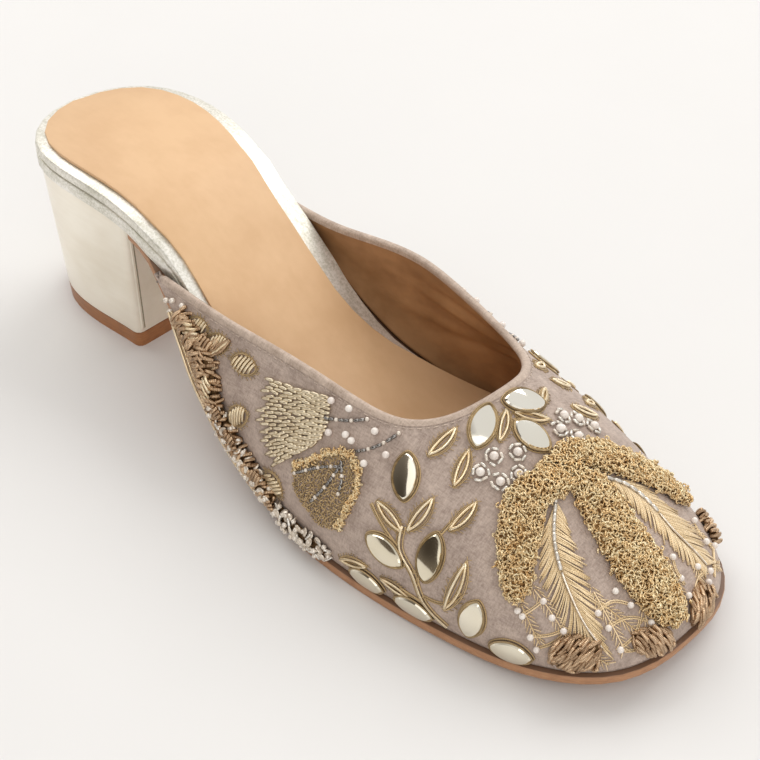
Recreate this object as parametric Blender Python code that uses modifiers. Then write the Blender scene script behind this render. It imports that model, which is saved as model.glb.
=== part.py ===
"""An embellished block-heel mule for the right foot, standing empty on its sole.

Sizes are millimetres in the last's own frame: x runs from the back of the heel seat to the
toe, y to the medial side and z up from the floor. The pieces are then moved so that the
middle of the shoe's box stands over the scene's origin, and written in metres.
"""

import math

import bmesh
import bpy
import numpy as np
from mathutils import Vector

MM = 0.001
GAP = 0.3  # clearance between two pieces that touch
LATERAL, MEDIAL = 0, 1

# ---- Driving sizes -------------------------------------------------------------------------

WALL = 1.8  # upper: cloth, stiffener and lining
FOOTBED_THICK = 3.5
SOCK_THICK = 1.2
OUTSOLE_THICK = 3.0
TOP_LIFT_THICK = 5.5

# Plan of the feather line, where the upper meets the sole: (x, lateral and medial half-width).
OUTLINE = (
    (4.0, 12.4, 13.0),
    (12.0, 21.2, 23.0),
    (28.0, 25.6, 28.2),
    (50.0, 24.6, 27.2),
    (62.0, 25.2, 25.3),
    (73.0, 27.4, 25.2),
    (88.0, 30.6, 25.2),
    (100.0, 33.2, 26.0),
    (125.0, 38.8, 30.8),
    (150.0, 42.0, 37.0),
    (170.0, 41.6, 38.4),
    (190.0, 39.6, 37.4),
    (207.0, 36.8, 34.8),
    (222.0, 31.4, 29.4),
    (232.0, 23.5, 21.6),
    (237.0, 12.0, 12.2),
)
HEEL_BACK = (1.2, 0.6)
TOE_TIP = (238.0, 0.6)

# How far the footbed keeps inside the feather line: (x, lateral, medial). It is narrow at the
# waist, where the upper stands away from it.
FOOTBED_INSET = (
    (52.0, 0.0, 0.0),
    (62.0, 0.2, 0.5),
    (73.0, 3.3, 2.6),
    (81.0, 4.2, 2.8),
    (90.0, 4.5, 3.5),
    (100.0, 4.5, 5.2),
    (112.0, 4.2, 5.8),
    (126.0, 3.4, 4.8),
    (142.0, 2.5, 2.5),
    (205.0, 2.5, 2.5),
    (225.0, 3.0, 3.0),
    (240.0, 3.0, 3.0),
)

# Width of the bare rim of the footbed outside the sock: (x, lateral, medial).
BARE_RIM = (
    (0.0, 3.0, 3.6),
    (30.0, 3.2, 4.6),
    (60.0, 3.4, 6.0),
    (90.0, 3.4, 6.8),
    (101.0, 3.2, 6.0),
    (112.0, 2.4, 3.8),
    (124.0, 1.0, 1.3),
    (132.0, 0.4, 0.4),
    (205.0, 0.5, 0.5),
    (225.0, 1.6, 1.6),
    (240.0, 1.6, 1.6),
)

# How far the outsole keeps inside the feather line: (x, inset). Its edge shows in front.
OUTSOLE_INSET = (
    (52.0, 1.0),
    (64.0, 1.0),
    (76.0, 0.2),
    (104.0, 0.0),
    (124.0, -1.2),
    (240.0, -1.4),
)

# Top of the footbed along the foot: (x, height). It is level under the ball.
FOOTBED_TOP = (
    (0.0, 57.8),
    (30.0, 58.6),
    (60.0, 55.3),
    (90.0, 37.9),
    (120.0, 16.2),
    (145.0, 6.8),
    (168.0, 6.8),
    (205.0, 8.5),
    (240.0, 12.8),
)

# Depth of the outsole's top below the footbed's top: (x, depth).
SOLE_DEPTH = (
    (0.0, 7.5),
    (56.0, 7.5),
    (72.0, 8.6),
    (96.0, 8.6),
    (125.0, 5.2),
    (146.0, 3.8),
    (240.0, 3.8),
)

# The upper's ribs, from the lateral end round the toe to the medial end. Each runs up from the
# feather line to the collar. Columns: distance along the feather line from the toe tip
# (lateral is negative); collar x, y, z; how far the wall rises and leans out from the feather
# line; reach of the slope at the collar, and that slope in degrees.
RIBS = (
    (-194.5, 73.0, -27.2, 43.2, 0.8, 0.4, 0.8, 88.0),
    (-184.0, 84.0, -28.0, 43.8, 3.5, 1.8, 3.5, 86.0),
    (-170.0, 98.0, -27.8, 43.4, 6.5, 3.0, 6.0, 80.0),
    (-152.0, 116.0, -27.8, 44.6, 10.0, 3.4, 10.0, 74.0),
    (-133.0, 134.0, -27.6, 45.2, 13.0, 3.6, 13.0, 70.0),
    (-115.0, 148.5, -26.4, 44.0, 15.5, 4.4, 14.5, 60.0),
    (-97.0, 159.6, -23.8, 43.6, 16.5, 4.6, 16.5, 44.0),
    (-76.0, 168.0, -17.8, 45.2, 16.5, 4.6, 21.0, 35.0),
    (-50.0, 173.0, -10.0, 48.0, 15.0, 4.0, 24.0, 33.0),
    (-22.0, 175.2, -3.6, 49.8, 13.0, 2.6, 24.0, 33.0),
    (0.0, 175.6, 0.6, 50.0, 12.5, 2.2, 23.5, 34.0),
    (20.0, 175.0, 5.0, 49.2, 11.5, 1.6, 21.5, 38.0),
    (44.0, 172.8, 10.4, 47.2, 12.5, 2.4, 20.5, 38.0),
    (68.0, 168.6, 16.4, 44.4, 14.5, 3.8, 18.5, 40.0),
    (88.0, 162.0, 21.2, 42.9, 15.0, 4.4, 15.0, 48.0),
    (104.0, 151.0, 24.9, 43.0, 15.0, 4.4, 14.0, 60.0),
    (121.0, 137.0, 27.3, 44.6, 13.0, 4.6, 12.0, 74.0),
    (137.0, 121.0, 28.8, 45.8, 10.0, 5.0, 9.0, 84.0),
    (153.0, 105.0, 27.6, 44.9, 8.0, 4.6, 7.0, 88.0),
    (169.0, 89.5, 25.2, 43.8, 4.5, 2.4, 4.0, 90.0),
    (184.0, 73.0, 25.2, 43.2, 0.8, 0.4, 0.8, 88.0),
)
RIB_STEPS = 76
WALL_STEPS = 12

# Ornament is placed on the upper by along and rise, as upper_point takes them.
CLEAR = 0.55  # between the ornament's back and the upper's outer face
BAND_EDGE = 0.9  # thickness of a coil band at its two edges
BAND_STEP = 3.6  # length of one facet along a band
LEAF_THICK = 1.0
LEAF_WIDTH = 7.0

# Bands of raised metal coils on the toe: rows of (along, rise, width, thickness).
TOE_BANDS = {
    "coil_band_lateral": (
        (-16.0, 0.68, 5.4, 2.1),
        (-25.5, 0.70, 8.0, 2.3),
        (-33.0, 0.68, 9.4, 2.3),
        (-39.0, 0.62, 9.4, 2.3),
        (-43.0, 0.545, 8.6, 2.3),
        (-45.5, 0.465, 7.4, 2.3),
        (-47.0, 0.40, 5.4, 2.0),
        (-48.0, 0.355, 3.0, 1.6),
    ),
    "coil_band_centre": (
        (-4.5, 0.665, 7.8, 2.2),
        (-6.5, 0.60, 10.6, 2.4),
        (-8.0, 0.50, 12.0, 2.4),
        (-9.0, 0.39, 13.0, 2.4),
        (-9.0, 0.30, 12.0, 2.4),
        (-8.2, 0.22, 9.6, 2.3),
        (-7.4, 0.155, 4.6, 1.6),
    ),
    "coil_band_medial": (
        (5.0, 0.71, 5.2, 2.2),
        (9.0, 0.695, 7.4, 2.3),
        (15.0, 0.65, 8.4, 2.3),
        (20.0, 0.59, 8.6, 2.3),
        (24.5, 0.52, 8.2, 2.3),
        (27.5, 0.45, 7.4, 2.2),
        (29.0, 0.38, 6.0, 2.0),
        (30.0, 0.32, 3.4, 1.6),
    ),
    "coil_tuft_lateral_1": (
        (-41.0, 0.15, 5.0, 1.4), (-35.5, 0.145, 7.6, 1.8), (-30.5, 0.14, 5.0, 1.4)),
    "coil_tuft_lateral_2": (
        (-21.0, 0.16, 3.6, 1.4), (-16.0, 0.13, 6.0, 1.8), (-12.0, 0.09, 3.4, 1.4)),
    "coil_tuft_medial_1": (
        (-2.5, 0.09, 3.4, 1.4), (1.5, 0.12, 5.6, 1.8), (6.0, 0.16, 3.8, 1.4)),
    "coil_tuft_medial_2": (
        (26.5, 0.14, 4.0, 1.1), (31.0, 0.14, 5.6, 1.3), (35.5, 0.14, 4.0, 1.1)),
}

# The same along one side's lower edge, from the wing forward. along is given for the lateral
# side and changes its sign on the medial side, where WING_SHORTER also shortens it.
EDGE_BANDS = {
    "coil_vine": (
        (-181.0, 0.50, 3.4, 1.6),
        (-175.0, 0.44, 5.0, 2.2),
        (-169.5, 0.40, 7.0, 2.6),
        (-165.0, 0.28, 7.0, 2.8),
        (-161.0, 0.14, 6.4, 2.8),
        (-157.5, 0.09, 5.4, 2.8),
        (-151.0, 0.085, 4.6, 2.8),
        (-142.0, 0.095, 4.2, 2.6),
        (-131.0, 0.085, 4.0, 2.2),
    ),
    "sequin_edge": (
        (-128.0, 0.065, 4.0, 2.2),
        (-118.0, 0.07, 4.2, 2.2),
        (-108.5, 0.07, 3.4, 1.8),
    ),
}
WING_SHORTER = 0.94

# Mirror leaves: (along, rise, length, turn), where turn is the angle in degrees of the long
# axis from the feather line's own direction. Those of a side are mirrored like the bands.
THROAT_LEAVES = (
    (-46.0, 0.925, 12.4, -130.0),
    (1.0, 0.93, 13.0, -38.0),
    (-15.0, 0.835, 11.8, -72.0),
)
SIDE_LEAVES = (
    (-86.0, 0.75, 12.8, -78.0),
    (-89.0, 0.35, 13.0, -15.0),
    (-74.0, 0.42, 13.6, -90.0),
    (-62.0, 0.185, 11.6, -98.0),
    (-95.0, 0.09, 12.0, 0.0),
    (-80.0, 0.09, 12.6, 0.0),
    (-52.0, 0.09, 12.0, 0.0),
)

RAND_FRONT = 128.0  # the wrapped rand runs out here, under the footbed

# Heel block: its inset below the seat, its breast at the seat, and its foot.
HEEL_INSET = 0.9
BREAST_TOP = 54.6
FOOT_BACK = 4.8
FOOT_FRONT = 50.5
SEAT_MIDDLE = 1.2  # y of the seat's middle, which stands over the foot's middle
FOOT_WIDTH_SHARE = 0.77
BREAST_EDGE = 2.2
HEEL_LEVELS = (16.0, 28.0, 38.0)


# ---- Curves --------------------------------------------------------------------------------

def natural_spline(xs, ys):
    """A function through the points whose bend changes smoothly; ys may have columns."""
    xs = np.asarray(xs, float)
    ys = np.asarray(ys, float)
    h = np.diff(xs)
    n = len(xs)
    rows = np.eye(n)
    right = np.zeros(ys.shape)
    steps = np.diff(ys, axis=0) / (h if ys.ndim == 1 else h[:, None])
    for i in range(1, n - 1):
        rows[i, i - 1:i + 2] = (h[i - 1], 2 * (h[i - 1] + h[i]), h[i])
        right[i] = 6 * (steps[i] - steps[i - 1])
    bend = np.linalg.solve(rows, right)

    def value(x):
        x = np.asarray(x, float)
        i = np.clip(np.searchsorted(xs, x) - 1, 0, n - 2)
        a = (xs[i + 1] - x) / h[i]
        b = 1 - a
        hi = h[i]
        if ys.ndim > 1:
            a, b, hi = a[..., None], b[..., None], hi[..., None]
        curve = (a ** 3 - a) * bend[i] + (b ** 3 - b) * bend[i + 1]
        return a * ys[i] + b * ys[i + 1] + curve * hi ** 2 / 6

    return value


def level_spline(xs, ys):
    """A function through the points that never overshoots, so level stretches stay level."""
    xs, ys = np.asarray(xs, float), np.asarray(ys, float)
    h = np.diff(xs)
    step = np.diff(ys) / h
    slope = np.zeros(len(xs))
    slope[0], slope[-1] = step[0], step[-1]
    for i in range(1, len(xs) - 1):
        if step[i - 1] * step[i] > 0:
            before = 2 * h[i] + h[i - 1]
            after = h[i] + 2 * h[i - 1]
            slope[i] = (before + after) / (before / step[i - 1] + after / step[i])

    def value(x):
        x = np.clip(np.asarray(x, float), xs[0], xs[-1])
        i = np.clip(np.searchsorted(xs, x) - 1, 0, len(xs) - 2)
        t = (x - xs[i]) / h[i]
        ends = ys[i] + (ys[i + 1] - ys[i]) * t * t * (3 - 2 * t)
        bend = slope[i] * t * (1 - t) ** 2 - slope[i + 1] * t * t * (1 - t)
        return ends + h[i] * bend

    return value


def table_function(table, column=1):
    rows = np.array(table, float)
    return level_spline(rows[:, 0], rows[:, column])


# ---- The last ------------------------------------------------------------------------------

def closed_outline():
    """Dense points of the feather line, from the heel's back along the lateral side, round
    the toe and back along the medial side."""
    lateral = [(x, -w) for x, w, _ in OUTLINE]
    medial = [(x, w) for x, _, w in reversed(OUTLINE)]
    loop = [HEEL_BACK, *lateral, TOE_TIP, *medial]
    wrapped = np.array(loop[-3:] + loop + loop[:4])
    reach = np.r_[0, np.cumsum(np.hypot(*np.diff(wrapped, axis=0).T))]
    curve = natural_spline(reach, wrapped)
    return curve(np.linspace(reach[3], reach[3 + len(loop)], 1200))


FEATHER = closed_outline()
FEATHER_RUN = np.r_[0, np.cumsum(np.hypot(*np.diff(FEATHER, axis=0).T))]
TIP_INDEX = int(np.argmax(FEATHER[:, 0]))
TANGENT = np.gradient(FEATHER, FEATHER_RUN, axis=0)
OUTWARD = np.c_[TANGENT[:, 1], -TANGENT[:, 0]]
OUTWARD /= np.hypot(*OUTWARD.T)[:, None]

footbed_top = table_function(FOOTBED_TOP)
sole_depth = table_function(SOLE_DEPTH)
outsole_inset = table_function(OUTSOLE_INSET)
footbed_insets = (table_function(FOOTBED_INSET, 1), table_function(FOOTBED_INSET, 2))
bare_rims = (table_function(BARE_RIM, 1), table_function(BARE_RIM, 2))


def feather_at(along):
    """Point and outward direction of the feather line, at a distance from the toe tip."""
    run = FEATHER_RUN[TIP_INDEX] + np.asarray(along, float)
    point = np.stack([np.interp(run, FEATHER_RUN, c) for c in FEATHER.T], axis=-1)
    out = np.stack([np.interp(run, FEATHER_RUN, c) for c in OUTWARD.T], axis=-1)
    return point, out


def rand_top(x):
    return footbed_top(x) - FOOTBED_THICK - GAP


def outsole_top(x):
    return footbed_top(x) - sole_depth(x)


def footbed_inset(x, side):
    return footbed_insets[side](x)


def sides(x_from, x_to, inset, count):
    """Points of the lateral and of the medial side between two stations, drawn in from the
    feather line by inset(x, side): two arrays that run towards the toe."""
    end_step = 1.5  # keeps the two sides apart at the seat's back and at the toe tip
    found = []
    for side, half in ((LATERAL, slice(0, TIP_INDEX + 1)), (MEDIAL, slice(None, TIP_INDEX - 1, -1))):
        line = FEATHER[half] - OUTWARD[half] * inset(FEATHER[half][:, 0], side)[:, None]
        run = np.r_[0, np.cumsum(np.hypot(*np.diff(line, axis=0).T))]
        inside = run[(line[:, 0] >= x_from) & (line[:, 0] <= x_to)]
        marks = np.linspace(max(inside[0], end_step), min(inside[-1], run[-1] - end_step), count)
        found.append(np.stack([np.interp(marks, run, c) for c in line.T], axis=-1))
    return found


# ---- Mesh helpers --------------------------------------------------------------------------

SHOE = bpy.data.collections.new("embellished_block_heel_mule")


def material(name, colour, roughness, metallic=0.0):
    made = bpy.data.materials.new(name)
    made.use_nodes = True
    shader = made.node_tree.nodes["Principled BSDF"]
    shader.inputs["Base Color"].default_value = (*colour, 1.0)
    shader.inputs["Roughness"].default_value = roughness
    shader.inputs["Metallic"].default_value = metallic
    made.diffuse_color = (*colour, 1.0)
    return made


def add_object(name, bm, finish, smooth_degrees=40.0):
    bmesh.ops.recalc_face_normals(bm, faces=bm.faces)
    mesh = bpy.data.meshes.new(name)
    bm.to_mesh(mesh)
    bm.free()
    mesh.materials.append(finish)
    mesh.shade_smooth()
    mesh.set_sharp_from_angle(angle=math.radians(smooth_degrees))
    made = bpy.data.objects.new(name, mesh)
    SHOE.objects.link(made)
    return made


def ring_mesh(rings):
    """A mesh of closed rings of equal count, each joined to the next and left open at both
    ends. Returns it with the rings' vertices."""
    bm = bmesh.new()
    verts = [[bm.verts.new(Vector(p) * MM) for p in ring] for ring in rings]
    for a, b in zip(verts, verts[1:]):
        for i in range(len(a)):
            j = (i + 1) % len(a)
            bm.faces.new((a[i], a[j], b[j], b[i]))
    return bm, verts


def ladder(bm, ring):
    """Closes a ring whose first half runs beside its second half reversed, rung by rung."""
    n = len(ring)
    for i in range(n // 2 - 1):
        bm.faces.new((ring[i], ring[i + 1], ring[n - 2 - i], ring[n - 1 - i]))


def closed_rings(rings):
    bm, verts = ring_mesh(rings)
    ladder(bm, verts[0])
    ladder(bm, verts[-1])
    return bm


def plate(name, finish, edge, x_from, x_to, inset, count):
    """A slab that follows the foot. edge lists its rim from the top face to the bottom face
    as (drawn in, height function) pairs."""
    rings = []
    for drawn_in, height in edge:
        lateral, medial = sides(x_from, x_to, lambda x, s: inset(x, s) + drawn_in, count)
        loop = np.concatenate([lateral, medial[::-1]])
        rings.append(np.c_[loop, height(loop[:, 0])])
    return add_object(name, closed_rings(rings), finish)


def rounded_edge(top, bottom, radius):
    """A rim whose two edges are eased by quarter turns of the radius."""
    turns = [math.radians(a) for a in (0, 45, 90)]
    upper = [(radius * (1 - math.sin(a)), lambda x, a=a: top(x) - radius * (1 - math.cos(a)))
             for a in turns]
    lower = [(radius * (1 - math.cos(a)), lambda x, a=a: bottom(x) + radius * (1 - math.sin(a)))
             for a in turns]
    return upper + lower


# ---- The upper's surface -------------------------------------------------------------------

RIB_ROWS = np.array(RIBS)
rib_values = natural_spline(RIB_ROWS[:, 0], RIB_ROWS[:, 1:])
RIB_START, RIB_END = RIB_ROWS[0, 0], RIB_ROWS[-1, 0]


def upper_point(along, rise):
    """Outer face of the upper. along is the distance round the feather line from the toe
    tip, and rise runs from 0 at the feather line to 1 at the collar."""
    along = np.asarray(along, float)
    rise = np.asarray(rise, float)[..., None]
    plan, out = feather_at(along)
    row = rib_values(along)
    collar = row[..., 0:3]
    wall_rise, lean, reach, slope = (row[..., k:k + 1] for k in range(3, 7))
    foot = np.concatenate([plan, (outsole_top(plan[..., 0]) + GAP)[..., None]], axis=-1)
    flat_out = np.concatenate([out, np.zeros_like(wall_rise)], axis=-1)
    up = np.zeros_like(foot)
    up[..., 2] = 1.0
    first = foot + up * wall_rise + flat_out * lean
    # Side ribs leave the collar straight outwards, and toe ribs towards their own foot.
    run = foot - collar + 12.0 * flat_out
    run[..., 2] = 0.0
    run /= np.linalg.norm(run, axis=-1, keepdims=True)
    tilt = np.radians(slope)
    second = collar + reach * (run * np.cos(tilt) - up * np.sin(tilt))
    a, b = 1 - rise, rise
    return a ** 3 * foot + 3 * a * a * b * first + 3 * a * b * b * second + b ** 3 * collar


def upper_frame(along, rise):
    """Unit directions on the outer face: on along the feather line, up the rib, outwards."""
    on = upper_point(along + 0.2, rise) - upper_point(along - 0.2, rise)
    up = upper_point(along, rise + 0.01) - upper_point(along, rise - 0.01)
    out = np.cross(on, up)
    on /= np.linalg.norm(on, axis=-1, keepdims=True)
    out /= np.linalg.norm(out, axis=-1, keepdims=True)
    return on, np.cross(out, on), out


def over_upper(along, rise, across, upward, height):
    """Points over the outer face, each height above it. across and upward are distances from
    the anchor (along, rise), measured flat in the plane that touches the face there."""
    anchor = upper_point(along, rise)
    axes = np.stack(upper_frame(along, rise)[:2])
    wanted = np.stack([across, upward], axis=-1)
    spot = np.tile([along, rise], (len(across), 1)).astype(float)
    for _ in range(5):
        here = (upper_point(*spot.T) - anchor) @ axes.T
        step_on = (upper_point(spot[:, 0] + 0.2, spot[:, 1]) - anchor) @ axes.T - here
        step_up = (upper_point(spot[:, 0], spot[:, 1] + 0.004) - anchor) @ axes.T - here
        slopes = np.stack([step_on / 0.2, step_up / 0.004], axis=-1)
        spot += np.linalg.solve(slopes, (wanted - here)[..., None])[..., 0]
    out = upper_frame(*spot.T)[2]
    return upper_point(*spot.T) + out * np.asarray(height, float)[:, None]


# ---- The pieces ----------------------------------------------------------------------------

def make_upper(finish):
    """The vamp: one hollow wall, open at the collar, at the back and underneath."""
    alongs = np.linspace(RIB_START, RIB_END, RIB_STEPS)
    rises = np.linspace(0, 1, WALL_STEPS)
    bm = bmesh.new()
    grid = [[bm.verts.new(Vector(p) * MM) for p in upper_point(np.full(WALL_STEPS, a), rises)]
            for a in alongs]
    for a, b in zip(grid, grid[1:]):
        for i in range(WALL_STEPS - 1):
            bm.faces.new((a[i], b[i], b[i + 1], a[i + 1]))
    made = add_object("upper", bm, finish)
    wall = made.modifiers.new("wall", "SOLIDIFY")
    wall.thickness = WALL * MM
    wall.offset = -1.0
    wall.use_even_offset = True
    return made


def coil_band(name, finish, rows):
    """A domed band over the upper, through rows of (along, rise, width, thickness)."""
    rows = np.array(rows, float)
    middles = upper_point(rows[:, 0], rows[:, 1])
    reach = np.r_[0, np.cumsum(np.linalg.norm(np.diff(middles, axis=0), axis=1))]
    path = natural_spline(reach, rows)
    share = np.array([-1.0, -0.62, 0.0, 0.62, 1.0])
    rings = []
    for mark in np.linspace(0, reach[-1], max(3, round(reach[-1] / BAND_STEP))):
        along, rise, width, thick = path(mark)
        ahead = upper_point(*path(mark + 0.1)[:2]) - upper_point(*path(mark - 0.1)[:2])
        on, up, _ = upper_frame(along, rise)
        turn = math.atan2(ahead @ up, ahead @ on)
        across = -math.sin(turn) * share * width / 2
        upward = math.cos(turn) * share * width / 2
        dome = CLEAR + BAND_EDGE + (thick - BAND_EDGE) * (1 - share ** 2)
        top = over_upper(along, rise, across, upward, dome)
        back = over_upper(along, rise, across, upward, np.full(len(share), CLEAR))
        rings.append(np.concatenate([top, back[::-1]]))
    return add_object(name, closed_rings(rings), finish)


def mirror_leaf(name, finish, along, rise, length, turn):
    """A leaf with two pointed ends, its top edge eased."""
    angle = np.radians(np.arange(0, 360, 30))
    long_way = np.cos(angle) * length / 2
    short_way = np.sign(np.sin(angle)) * np.abs(np.sin(angle)) ** 1.5 * LEAF_WIDTH / 2
    c, s = math.cos(math.radians(turn)), math.sin(math.radians(turn))
    rings = []
    for size, height in ((1.0, 0.0), (1.0, 0.65), (0.86, 1.0)):
        across = size * (c * long_way - s * short_way)
        upward = size * (s * long_way + c * short_way)
        level = np.full(len(angle), CLEAR + height * LEAF_THICK)
        rings.append(over_upper(along, rise, across, upward, level))
    return add_object(name, closed_rings(rings), finish)


def make_ornament(coil, mirror):
    for name, rows in TOE_BANDS.items():
        coil_band(name, coil, rows)
    for side, sign, shorter in (("lateral", 1.0, 1.0), ("medial", -1.0, WING_SHORTER)):
        for name, rows in EDGE_BANDS.items():
            coil_band(f"{name}_{side}", coil, [(sign * shorter * a, *rest) for a, *rest in rows])
        for number, (along, rise, length, turn) in enumerate(SIDE_LEAVES, 1):
            mirror_leaf(f"mirror_leaf_{side}_{number}", mirror, sign * along, rise, length,
                        turn if sign > 0 else 180 - turn)
    for number, row in enumerate(THROAT_LEAVES, 1):
        mirror_leaf(f"mirror_leaf_throat_{number}", mirror, *row)


def sock_inset(x, side):
    return footbed_inset(x, side) + bare_rims[side](x)


def make_footbed(finish):
    edge = rounded_edge(footbed_top, lambda x: footbed_top(x) - FOOTBED_THICK, 1.0)
    return plate("footbed", finish, edge, 0.0, 300.0, footbed_inset, 46)


def make_sock(finish):
    edge = rounded_edge(lambda x: footbed_top(x) + GAP + SOCK_THICK,
                        lambda x: footbed_top(x) + GAP, 0.5)
    return plate("insole_sock", finish, edge, 0.0, 300.0, sock_inset, 42)


def make_rand(finish):
    edge = rounded_edge(rand_top, lambda x: outsole_top(x) + GAP, 0.35)
    return plate("heel_rand", finish, edge, 0.0, RAND_FRONT, footbed_inset, 32)


def make_outsole(finish):
    edge = rounded_edge(outsole_top, lambda x: outsole_top(x) - OUTSOLE_THICK, 0.6)
    return plate("outsole", finish, edge, BREAST_TOP + 0.8, 300.0,
                 lambda x, side: outsole_inset(x), 44)


def ease_corner(side, across):
    """Ends a side in a quarter turn towards the breast instead of a sharp corner. across is
    the direction from this side to the other, and side runs towards the breast."""
    corner = side[-1]
    ahead = (side[-1] - side[-2]) / np.linalg.norm(side[-1] - side[-2])
    turn = np.radians(np.linspace(0, 90, 4))[:, None]
    arc = corner + BREAST_EDGE * ((1 - np.cos(turn)) * across - (1 - np.sin(turn)) * ahead)
    return np.concatenate([side[:-1], arc])


def heel_ring(share, height):
    """One ring of the heel. share is 0 at the seat and 1 at the floor, and height(x) gives z."""
    seat = sides(0.0, BREAST_TOP, lambda x, side: HEEL_INSET + 0 * x, 20)
    back = min(side[:, 0].min() for side in seat)
    stretch = (FOOT_FRONT - FOOT_BACK) / (BREAST_TOP - back)
    drawn = []
    for side, to_other in zip(seat, (1.0, -1.0)):
        foot = np.c_[FOOT_BACK + (side[:, 0] - back) * stretch,
                     (side[:, 1] - SEAT_MIDDLE) * FOOT_WIDTH_SHARE]
        line = side + (foot - side) * share
        drawn.append(ease_corner(line, np.array([0.0, to_other])))
    loop = np.concatenate([drawn[LATERAL], drawn[MEDIAL][::-1]])
    return np.c_[loop, height(loop[:, 0])]


def heel_share(z):
    return 1 - z / float(outsole_top(0.0))


def make_heel(finish):
    levels = (TOP_LIFT_THICK + GAP, *HEEL_LEVELS)
    rings = [heel_ring(heel_share(z), lambda x, z=z: z + 0 * x) for z in levels]
    rings.append(heel_ring(0.0, outsole_top))
    return add_object("heel_block", closed_rings(rings), finish)


def make_top_lift(finish):
    rings = [heel_ring(heel_share(z), lambda x, z=z: z + 0 * x) for z in (0.0, TOP_LIFT_THICK)]
    return add_object("top_lift", closed_rings(rings), finish)


def centre_on_origin(objects):
    """Moves the pieces so that the middle of their box stands over the origin."""
    graph = bpy.context.evaluated_depsgraph_get()
    corners = []
    for piece in objects:
        evaluated = piece.evaluated_get(graph)
        corners += [np.array(evaluated.matrix_world @ Vector(c)) for c in evaluated.bound_box]
    low, high = np.min(corners, axis=0), np.max(corners, axis=0)
    shift = Vector((-(low[0] + high[0]) / 2, -(low[1] + high[1]) / 2, 0.0))
    for piece in objects:
        piece.location = piece.location + shift


def main():
    for old in list(bpy.data.objects):
        bpy.data.objects.remove(old, do_unlink=True)
    bpy.context.scene.collection.children.link(SHOE)
    metallic_leather = material("pale_gold_leather", (0.80, 0.76, 0.66), 0.30, 0.75)
    tan_leather = material("tan_leather", (0.72, 0.50, 0.32), 0.55)
    brown_sole = material("brown_sole", (0.42, 0.19, 0.07), 0.45)
    cloth = material("mauve_cloth", (0.50, 0.42, 0.38), 0.70)
    make_outsole(brown_sole)
    make_rand(metallic_leather)
    make_heel(metallic_leather)
    make_top_lift(brown_sole)
    make_footbed(metallic_leather)
    make_sock(tan_leather)
    make_upper(cloth)
    make_ornament(material("gold_coil", (0.62, 0.47, 0.25), 0.35, 0.8),
                  material("mirror", (0.85, 0.80, 0.68), 0.12, 1.0))
    bpy.context.view_layer.update()
    centre_on_origin(list(SHOE.objects))


main()
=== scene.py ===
"""Looks of the embellished block-heel mule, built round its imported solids.

Lengths are millimetres in the last's frame, as in the part's source: x runs from the back of
the seat to the toe, y to the medial side and z up. Pieces are built in metres, shifted into
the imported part's frame.
Ornament is placed on the upper by (along, rise): along is the distance round the feather
line from the toe tip, negative on the lateral side, and rise is 0 at the feather line and 1
at the collar.
"""

import math

import bpy
import numpy as np
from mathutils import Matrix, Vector
from mathutils.bvhtree import BVHTree


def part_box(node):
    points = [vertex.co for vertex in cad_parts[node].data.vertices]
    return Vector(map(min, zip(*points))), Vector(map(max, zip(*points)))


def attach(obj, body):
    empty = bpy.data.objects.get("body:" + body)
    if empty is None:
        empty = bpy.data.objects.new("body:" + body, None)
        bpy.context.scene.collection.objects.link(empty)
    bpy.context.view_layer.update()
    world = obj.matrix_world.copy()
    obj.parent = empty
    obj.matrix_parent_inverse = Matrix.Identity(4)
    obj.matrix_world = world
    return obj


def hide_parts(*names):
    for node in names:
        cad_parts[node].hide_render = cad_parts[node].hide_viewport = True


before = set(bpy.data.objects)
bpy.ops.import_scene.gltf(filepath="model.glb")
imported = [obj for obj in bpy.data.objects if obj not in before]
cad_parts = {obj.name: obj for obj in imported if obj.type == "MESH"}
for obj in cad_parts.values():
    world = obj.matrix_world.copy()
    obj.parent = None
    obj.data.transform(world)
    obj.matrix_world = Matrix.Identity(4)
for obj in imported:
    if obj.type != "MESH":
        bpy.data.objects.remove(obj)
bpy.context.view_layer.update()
MM = 0.001
rng = np.random.default_rng(7)

# ---- The upper's own surface, as in the part's source ---------------------------------------

WALL = 1.8  # cloth, stiffener and lining together
# (x, lateral and medial half-width) of the feather line
OUTLINE = (
    (4.0, 12.4, 13.0), (12.0, 21.2, 23.0), (28.0, 25.6, 28.2), (50.0, 24.6, 27.2),
    (62.0, 25.2, 25.3), (73.0, 27.4, 25.2), (88.0, 30.6, 25.2), (100.0, 33.2, 26.0),
    (125.0, 38.8, 30.8), (150.0, 42.0, 37.0), (170.0, 41.6, 38.4), (190.0, 39.6, 37.4),
    (207.0, 36.8, 34.8), (222.0, 31.4, 29.4), (232.0, 23.5, 21.6), (237.0, 12.0, 12.2),
)
HEEL_BACK = (1.2, 0.6)
TOE_TIP = (238.0, 0.6)
# (x, height of the footbed's top)
FOOTBED_TOP = (
    (0.0, 57.8), (30.0, 58.6), (60.0, 55.3), (90.0, 37.9), (120.0, 16.2), (145.0, 6.8),
    (168.0, 6.8), (205.0, 8.5), (240.0, 12.8),
)
# (x, depth of the outsole's top below the footbed's top)
SOLE_DEPTH = (
    (0.0, 7.5), (56.0, 7.5), (72.0, 8.6), (96.0, 8.6), (125.0, 5.2), (146.0, 3.8),
    (240.0, 3.8),
)
SOLE_GAP = 0.3
# Side ribs leave the collar straight outwards, and toe ribs towards their own foot. This much
# of the outward direction is added to the way to the foot.
RIB_OUTWARD = 12.0
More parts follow.
